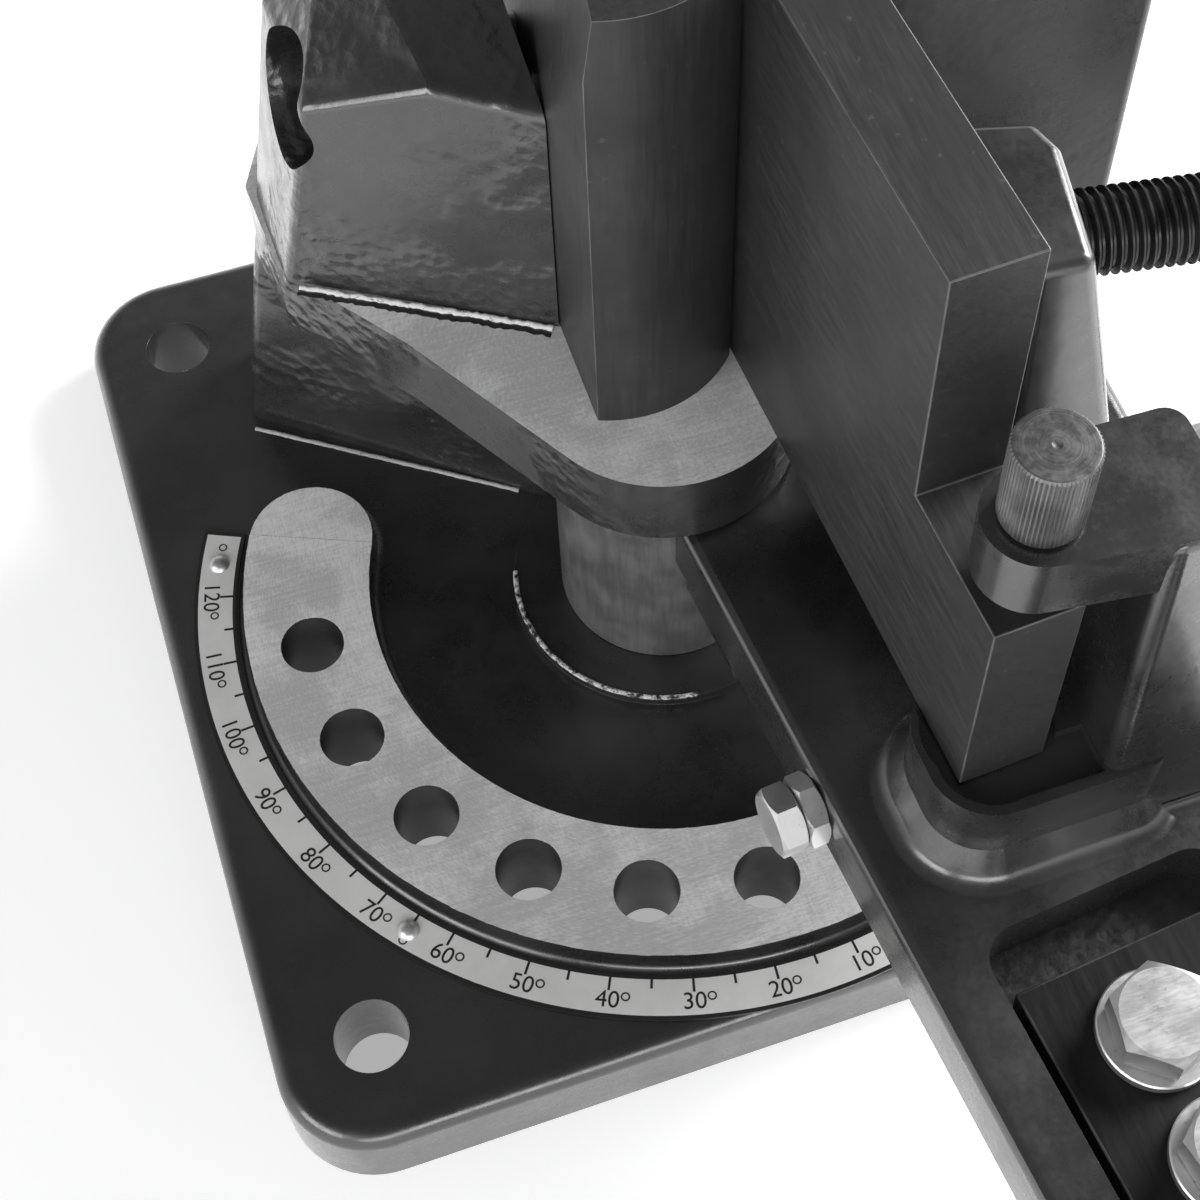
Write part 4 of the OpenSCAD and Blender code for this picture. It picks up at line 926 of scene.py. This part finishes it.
def dress_plate():
    bm = merged_copy("set_plate")
    soften(bm, PLATE_EDGE, 40, 130, 3)
    settle("set_plate_steel", bm, "plate_body", (plate_steel,), ("set_plate",))


def dress_arm():
    """The arm casting with a full fillet at the boss, a rough recess and a bare hub."""
    bm = merged_copy("swing_arm")

    def at_boss_foot(e):
        middle = (e.verts[0].co + e.verts[1].co) / 2 / MM
        level = abs(middle.z - ARM_TOP) < 0.3
        return level and middle.x > 5 and BOSS_FRONT < middle.y < BOSS_REAR and not e.is_convex

    def on_recess_floor(f):
        return f.normal.z > 0.7 and abs(f.calc_center_median().z / MM - RECESS_FLOOR) < 0.3

    def on_hub(f):
        c = f.calc_center_median() / MM
        out = Vector((c.x, c.y, 0)).normalized()
        upright = abs(f.normal.z) < 0.3 and f.normal.dot(out) > 0.95
        return upright and c.z < HUB_TOP and math.hypot(c.x, c.y) < HUB_R + 0.3

    soften(bm, BOSS_FILLET, 20, 150, 4, at_boss_foot, clamp=False, worn=False)
    soften(bm, CAST_EDGE, 50, 130, 2, lambda e: not at_boss_foot(e))
    paint_faces(bm, 1, on_recess_floor)
    paint_faces(bm, 2, on_hub)
    finishes = (paint, pebbled, hub_iron)
    settle("arm_casting", bm, "arm_body", finishes, ("swing_arm",), smooth=24)


def dress_lever():
    bm = merged_copy("lever_bar")
    soften(bm, CAST_EDGE, 50, 130)
    settle("lever_bar_steel", bm, "arm_body", (bar_black,), ("lever_bar",))
    bm = merged_copy("lever_grip")
    settle("lever_grip_sleeve", bm, "arm_body", (grip_rubber,), ("lever_grip",), smooth=40)


def wear(node, finish):
    """Gives a CAD node that shows as it is its finish."""
    data = nodes[node].data
    data.materials.clear()
    data.materials.append(finish)


# Hinge pin, screws and spindle
def dress_pin():
    """The hinge pin with its straight knurl and turned end."""
    low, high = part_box("hinge_pin")
    top = high.z / MM
    head = top - PIN_HEAD
    foot = low.z / MM
    bm = bmesh.new()
    centre_mark = ((0.0, top - 0.45), (0.55, top - 0.3), (0.9, top))
    upper_edge = ((PIN_HEAD_R - 0.8, top), (PIN_HEAD_R - 0.4, top - 0.12), (PIN_HEAD_R, top - 0.6))
    lower_edge = ((PIN_HEAD_R, head + 1.3), (PIN_HEAD_R - 0.4, head + 0.5), (PIN_R + 0.4, head))
    shank = ((PIN_R, head), (PIN_R, foot + 1.0), (PIN_R - 0.8, foot), (0.0, foot))
    turned(bm, centre_mark + upper_edge + lower_edge + shank, 180)
    for v in bm.verts:
        r = math.hypot(v.co.x, v.co.y)
        tooth = round(math.degrees(math.atan2(v.co.y, v.co.x)) / 2.0)
        if r > (PIN_HEAD_R - 0.1) * MM and tooth % 3 == 0:
            v.co.x *= 0.966
            v.co.y *= 0.966
    bmesh.ops.translate(bm, vec=(PIN_AT[0] * MM, PIN_AT[1] * MM, 0), verts=bm.verts[:])
    settle("hinge_pin_knurled", bm, "hinge_pin_body", (pin_steel,), ("hinge_pin",), smooth=20)


def hexagon(bm, across, low, high, place, bore=0.0):
    """A hexagon whose corners are turned off at both ends, as on a screw head or, with a bore, a nut."""
    half = across / 2
    flat = half * 0.95
    corner_drop = math.tan(math.radians(30))

    def lay(verts, level):
        """Sets a ring of points at one level: the turned-off ends, or the corners between them."""
        for v in verts:
            a = math.atan2(v.co.y, v.co.x)
            side = (math.degrees(a) + 30) % 60 - 30
            corner = half / math.cos(math.radians(side))
            drop = (corner - flat) * corner_drop
            r, z = {"low": (flat, low), "under": (corner, low + drop), "over": (corner, high - drop),
                    "high": (flat, high), "low bore": (bore, low), "high bore": (bore, high)}[level]
            v.co = Vector((r * math.cos(a), r * math.sin(a), z)) * MM

    def grow(edges, level):
        """Extrudes a rim to the next level, and gives the new rim."""
        grown = bmesh.ops.extrude_edge_only(bm, edges=edges)["geom"]
        verts = [g for g in grown if isinstance(g, bmesh.types.BMVert)]
        lay(verts, level)
        made.extend(verts)
        return [g for g in grown if isinstance(g, bmesh.types.BMEdge) and all(v in verts for v in g.verts)]

    made = list(bmesh.ops.create_circle(bm, cap_ends=False, segments=72, radius=1.0)["verts"])
    first = list(dict.fromkeys(e for v in made for e in v.link_edges))
    lay(made, "low")
    rim = first
    for level in ("under", "over", "high"):
        rim = grow(rim, level)
    if bore:
        bmesh.ops.bridge_loops(bm, edges=grow(first, "low bore") + grow(rim, "high bore"))
    else:
        bmesh.ops.edgeloop_fill(bm, edges=first)
        bmesh.ops.edgeloop_fill(bm, edges=rim)
    bmesh.ops.transform(bm, matrix=place, verts=made)


def arm_place(u, w, z):
    """A place on the arm: u along it from the pivot, w to its right, z up, all in millimetres."""
    return Matrix.Rotation(math.radians(ARM_DIR), 4, "Z") @ Matrix.Translation(Vector((u, w, z)) * MM)


def dress_stop():
    """The stop screw and its lock nut on the arm's left side."""
    side = arm_place(*STOP_SCREW_AT) @ Matrix.Rotation(math.radians(-90), 4, "X")
    bm = bmesh.new()
    hexagon(bm, STOP_ACROSS, *STOP_HEAD, side @ Matrix.Rotation(math.radians(12), 4, "Z"))
    shank = cut_thread(*STOP_THREAD, *STOP_SHANK, 24)
    bmesh.ops.transform(shank, matrix=side, verts=shank.verts[:])
    join_into(bm, shank)
    settle("stop_screw_bright", bm, "stop_screw_body", (zinc,), ("stop_screw",), smooth=28)
    bm = bmesh.new()
    hexagon(bm, STOP_ACROSS, *STOP_NUT, side @ Matrix.Rotation(math.radians(-6), 4, "Z"), 4.02)
    settle("stop_nut_bright", bm, "arm_body", (zinc,), ("stop_nut",), smooth=28)


def join_into(bm, other):
    """Moves all of one bmesh into another."""
    mesh = bpy.data.meshes.new("joining")
    other.to_mesh(mesh)
    other.free()
    bm.from_mesh(mesh)
    bpy.data.meshes.remove(mesh)


def dress_lever_screws():
    """The two lever bolts with their washers and nuts."""
    bolts, washers, nuts = bmesh.new(), bmesh.new(), bmesh.new()
    ring = ((6.5, 0.25), (6.75, 0.0), (11.2, 0.0), (11.5, 0.3), (11.5, 2.2), (11.2, 2.5), (6.75, 2.5))
    ring += ((6.5, 2.25), (6.5, 0.25))
    for i, u in enumerate(LEVER_BOLTS):
        turn = Matrix.Rotation(math.radians(BOLT_TURN * (i + 1)), 4, "Z")
        place = arm_place(u, LEVER_MIDDLE, LEVER_TOP) @ turn
        hexagon(bolts, BOLT_ACROSS, *BOLT_HEAD, place)
        shank = cut_thread(*BOLT_THREAD, *BOLT_SHANK, 32)
        bmesh.ops.transform(shank, matrix=place, verts=shank.verts[:])
        join_into(bolts, shank)
        washer = bmesh.new()
        turned(washer, ring, 72)
        bmesh.ops.transform(washer, matrix=place, verts=washer.verts[:])
        join_into(washers, washer)
        hexagon(nuts, BOLT_ACROSS, *BOLT_NUT, place, 6.02)
    for node, bm in (("lever_bolts", bolts), ("lever_washers", washers), ("lever_nuts", nuts)):
        settle(f"{node}_bright", bm, "arm_body", (zinc,), (node,), smooth=28)


def dress_spindle():
    """The spindle's head from its solid, and a cut thread and a neck in place of its plain shaft."""
    lean = Matrix.Rotation(math.radians(SPINDLE_DIR), 4, "Z") @ Matrix.Rotation(math.radians(90), 4, "Y")
    place = Matrix.Translation(Vector(SPINDLE_POINT) * MM) @ lean
    copy = merged_copy("spindle")
    along = place.inverted()
    reach = [(along @ v.co).z / MM for v in copy.verts]
    start = min(reach)
    far = [math.hypot(*(along @ v.co).xy) / MM for v in copy.verts]
    shaft_start = min(z for z, r in zip(reach, far) if r > SPINDLE_R - 0.5)
    cut_at = place @ Vector((0, 0, (SPINDLE_OUT - 1.0) * MM))
    cut = bmesh.ops.bisect_plane(
        copy,
        geom=copy.verts[:] + copy.edges[:] + copy.faces[:],
        plane_co=cut_at,
        plane_no=place.to_3x3() @ Vector((0, 0, -1)),
        clear_outer=True,
        clear_inner=False,
        dist=1e-7,
    )
    rim = [g for g in cut["geom_cut"] if isinstance(g, bmesh.types.BMEdge)]
    bmesh.ops.edgeloop_fill(copy, edges=rim)
    soften(copy, 0.8, 50, 130, 3)
    settle("spindle_head", copy, "spindle_body", (oxide,), ("spindle",))
    thread = cut_thread(*SPINDLE_THREAD, shaft_start, SPINDLE_OUT - 0.5)
    bmesh.ops.transform(thread, matrix=place, verts=thread.verts[:])
    settle("spindle_thread", thread, "spindle_body", (oxide,), smooth=50)
    neck = bmesh.new()
    end = shaft_start + 0.3
    turned(neck, ((0, start), (4.6, start), (5.0, start + 0.4), (5.0, end), (0, end)), 48)
    bmesh.ops.transform(neck, matrix=place, verts=neck.verts[:])
    settle("spindle_neck", neck, "spindle_body", (oxide,))


# Studio
def pale_floor(name):
    """A matt pale floor that reads white to the eye and in reflections, and keeps the shadow."""
    f = Finish(name, (0.93, 0.93, 0.93), 0.9)
    f.gloss(0.1)
    path = f.tree.nodes.new("ShaderNodeLightPath")
    mirrored = f.calc("ADD", path.outputs["Is Glossy Ray"], path.outputs["Is Transmission Ray"], clamp=True)
    seen = f.calc("MULTIPLY", path.outputs["Is Camera Ray"], 0.4)
    f.shader.inputs["Emission Color"].default_value = (1.0, 1.0, 1.0, 1.0)
    f.join(f.calc("MULTIPLY_ADD", mirrored, 0.5, seen), f.shader.inputs["Emission Strength"])
    return f.mat


def studio():
    """The camera, the pale floor, three softboxes and a world that darkens upwards."""
    scene = bpy.context.scene
    scene.view_settings.view_transform = "Standard"

    eye = bpy.data.cameras.new("photo_camera")
    eye.sensor_width = SENSOR
    eye.lens = PHOTO_FOCUS / PHOTO_WIDTH * SENSOR
    eye.shift_x = PHOTO_SHIFT[0] / PHOTO_WIDTH
    eye.shift_y = PHOTO_SHIFT[1] / PHOTO_WIDTH
    eye.clip_start = 0.01
    camera = bpy.data.objects.new("photo_camera", eye)
    right = Vector((0.944246, -0.329182, 0.006235))
    up = Vector((0.27081, 0.7873, 0.553913))
    back = Vector((-0.187247, -0.521342, 0.832551))
    turn = Matrix((right, up, back)).transposed().to_4x4()
    camera.matrix_world = Matrix.Translation((-0.088343, -0.261893, 0.475036)) @ turn
    bpy.context.collection.objects.link(camera)
    scene.camera = camera

    floor = bmesh.new()
    bmesh.ops.create_grid(floor, x_segments=1, y_segments=1, size=6.0)
    mesh = bpy.data.meshes.new("floor")
    floor.to_mesh(mesh)
    floor.free()
    mesh.materials.append(pale_floor("floor_white"))
    ground = bpy.data.objects.new("floor", mesh)
    bpy.context.collection.objects.link(ground)

    def softbox(name, place, target, size, power):
        light = bpy.data.lights.new(name, "AREA")
        light.shape = "RECTANGLE"
        light.size, light.size_y = size
        light.energy = power
        lamp = bpy.data.objects.new(name, light)
        lamp.location = place
        lamp.rotation_euler = (Vector(target) - Vector(place)).to_track_quat("-Z", "Y").to_euler()
        bpy.context.collection.objects.link(lamp)

    softbox("key_softbox", (1.25, 0.25, 0.80), (0.0, -0.02, 0.05), (0.8, 0.8), 40.0)
    softbox("side_softbox", (-1.1, -0.55, 0.60), (0.0, 0.0, 0.1), (0.9, 0.5), 7.0)
    softbox("front_softbox", (-0.2, -1.25, 0.50), (0.0, 0.0, 0.1), (1.0, 0.4), 6.0)

    world = bpy.data.worlds.new("studio_walls")
    world.use_nodes = True
    scene.world = world
    tree = world.node_tree
    sky = tree.nodes["Background"]
    ray = tree.nodes.new("ShaderNodeTexCoord").outputs["Generated"]
    split = tree.nodes.new("ShaderNodeSeparateXYZ")
    tree.links.new(ray, split.inputs[0])
    ramp = tree.nodes.new("ShaderNodeValToRGB")
    ramp.color_ramp.elements[0].position = 0.18
    ramp.color_ramp.elements[0].color = (0.92, 0.92, 0.92, 1)
    ramp.color_ramp.elements[1].position = 0.62
    ramp.color_ramp.elements[1].color = (0.16, 0.16, 0.16, 1)
    tree.links.new(split.outputs[2], ramp.inputs[0])
    tree.links.new(ramp.outputs[0], sky.inputs["Color"])
    sky.inputs["Strength"].default_value = 1.0


# The dressing, piece by piece
dress_base()
dress_pad_foot()
dress_pedestal_foot()
dress_scale()
dress_column()
dress_cheek_foot()
dress_collar_rim()
# A pale ragged bar along the pedestal's foot: a painted highlight
ragged_bar("pedestal_foot_highlight_bead", foot_highlight_paint, PEDESTAL_FOOT, BASE_TOP, 0.6, 0.6, 0.6, 0.12)
dress_block()
dress_plate()
dress_arm()
dress_lever()
dress_stop()
dress_lever_screws()
dress_pin()
dress_spindle()
for node, finish in (
    ("degree_scale", strip_black),
    ("scale_rivets", zinc),
    ("column_screws", oxide),
    ("block_screw", oxide),
    ("block_dowels", dowel_steel),
    ("pivot_pin", dowel_steel),
    ("thrust_washer", bronze),
    ("arm_bush", bronze),
    ("stop_pin", dowel_steel),
    ("pressure_shoe", dowel_steel),
    ("cross_bar", dowel_steel),
    ("bar_knobs", knob_plastic),
):
    wear(node, finish)
studio()
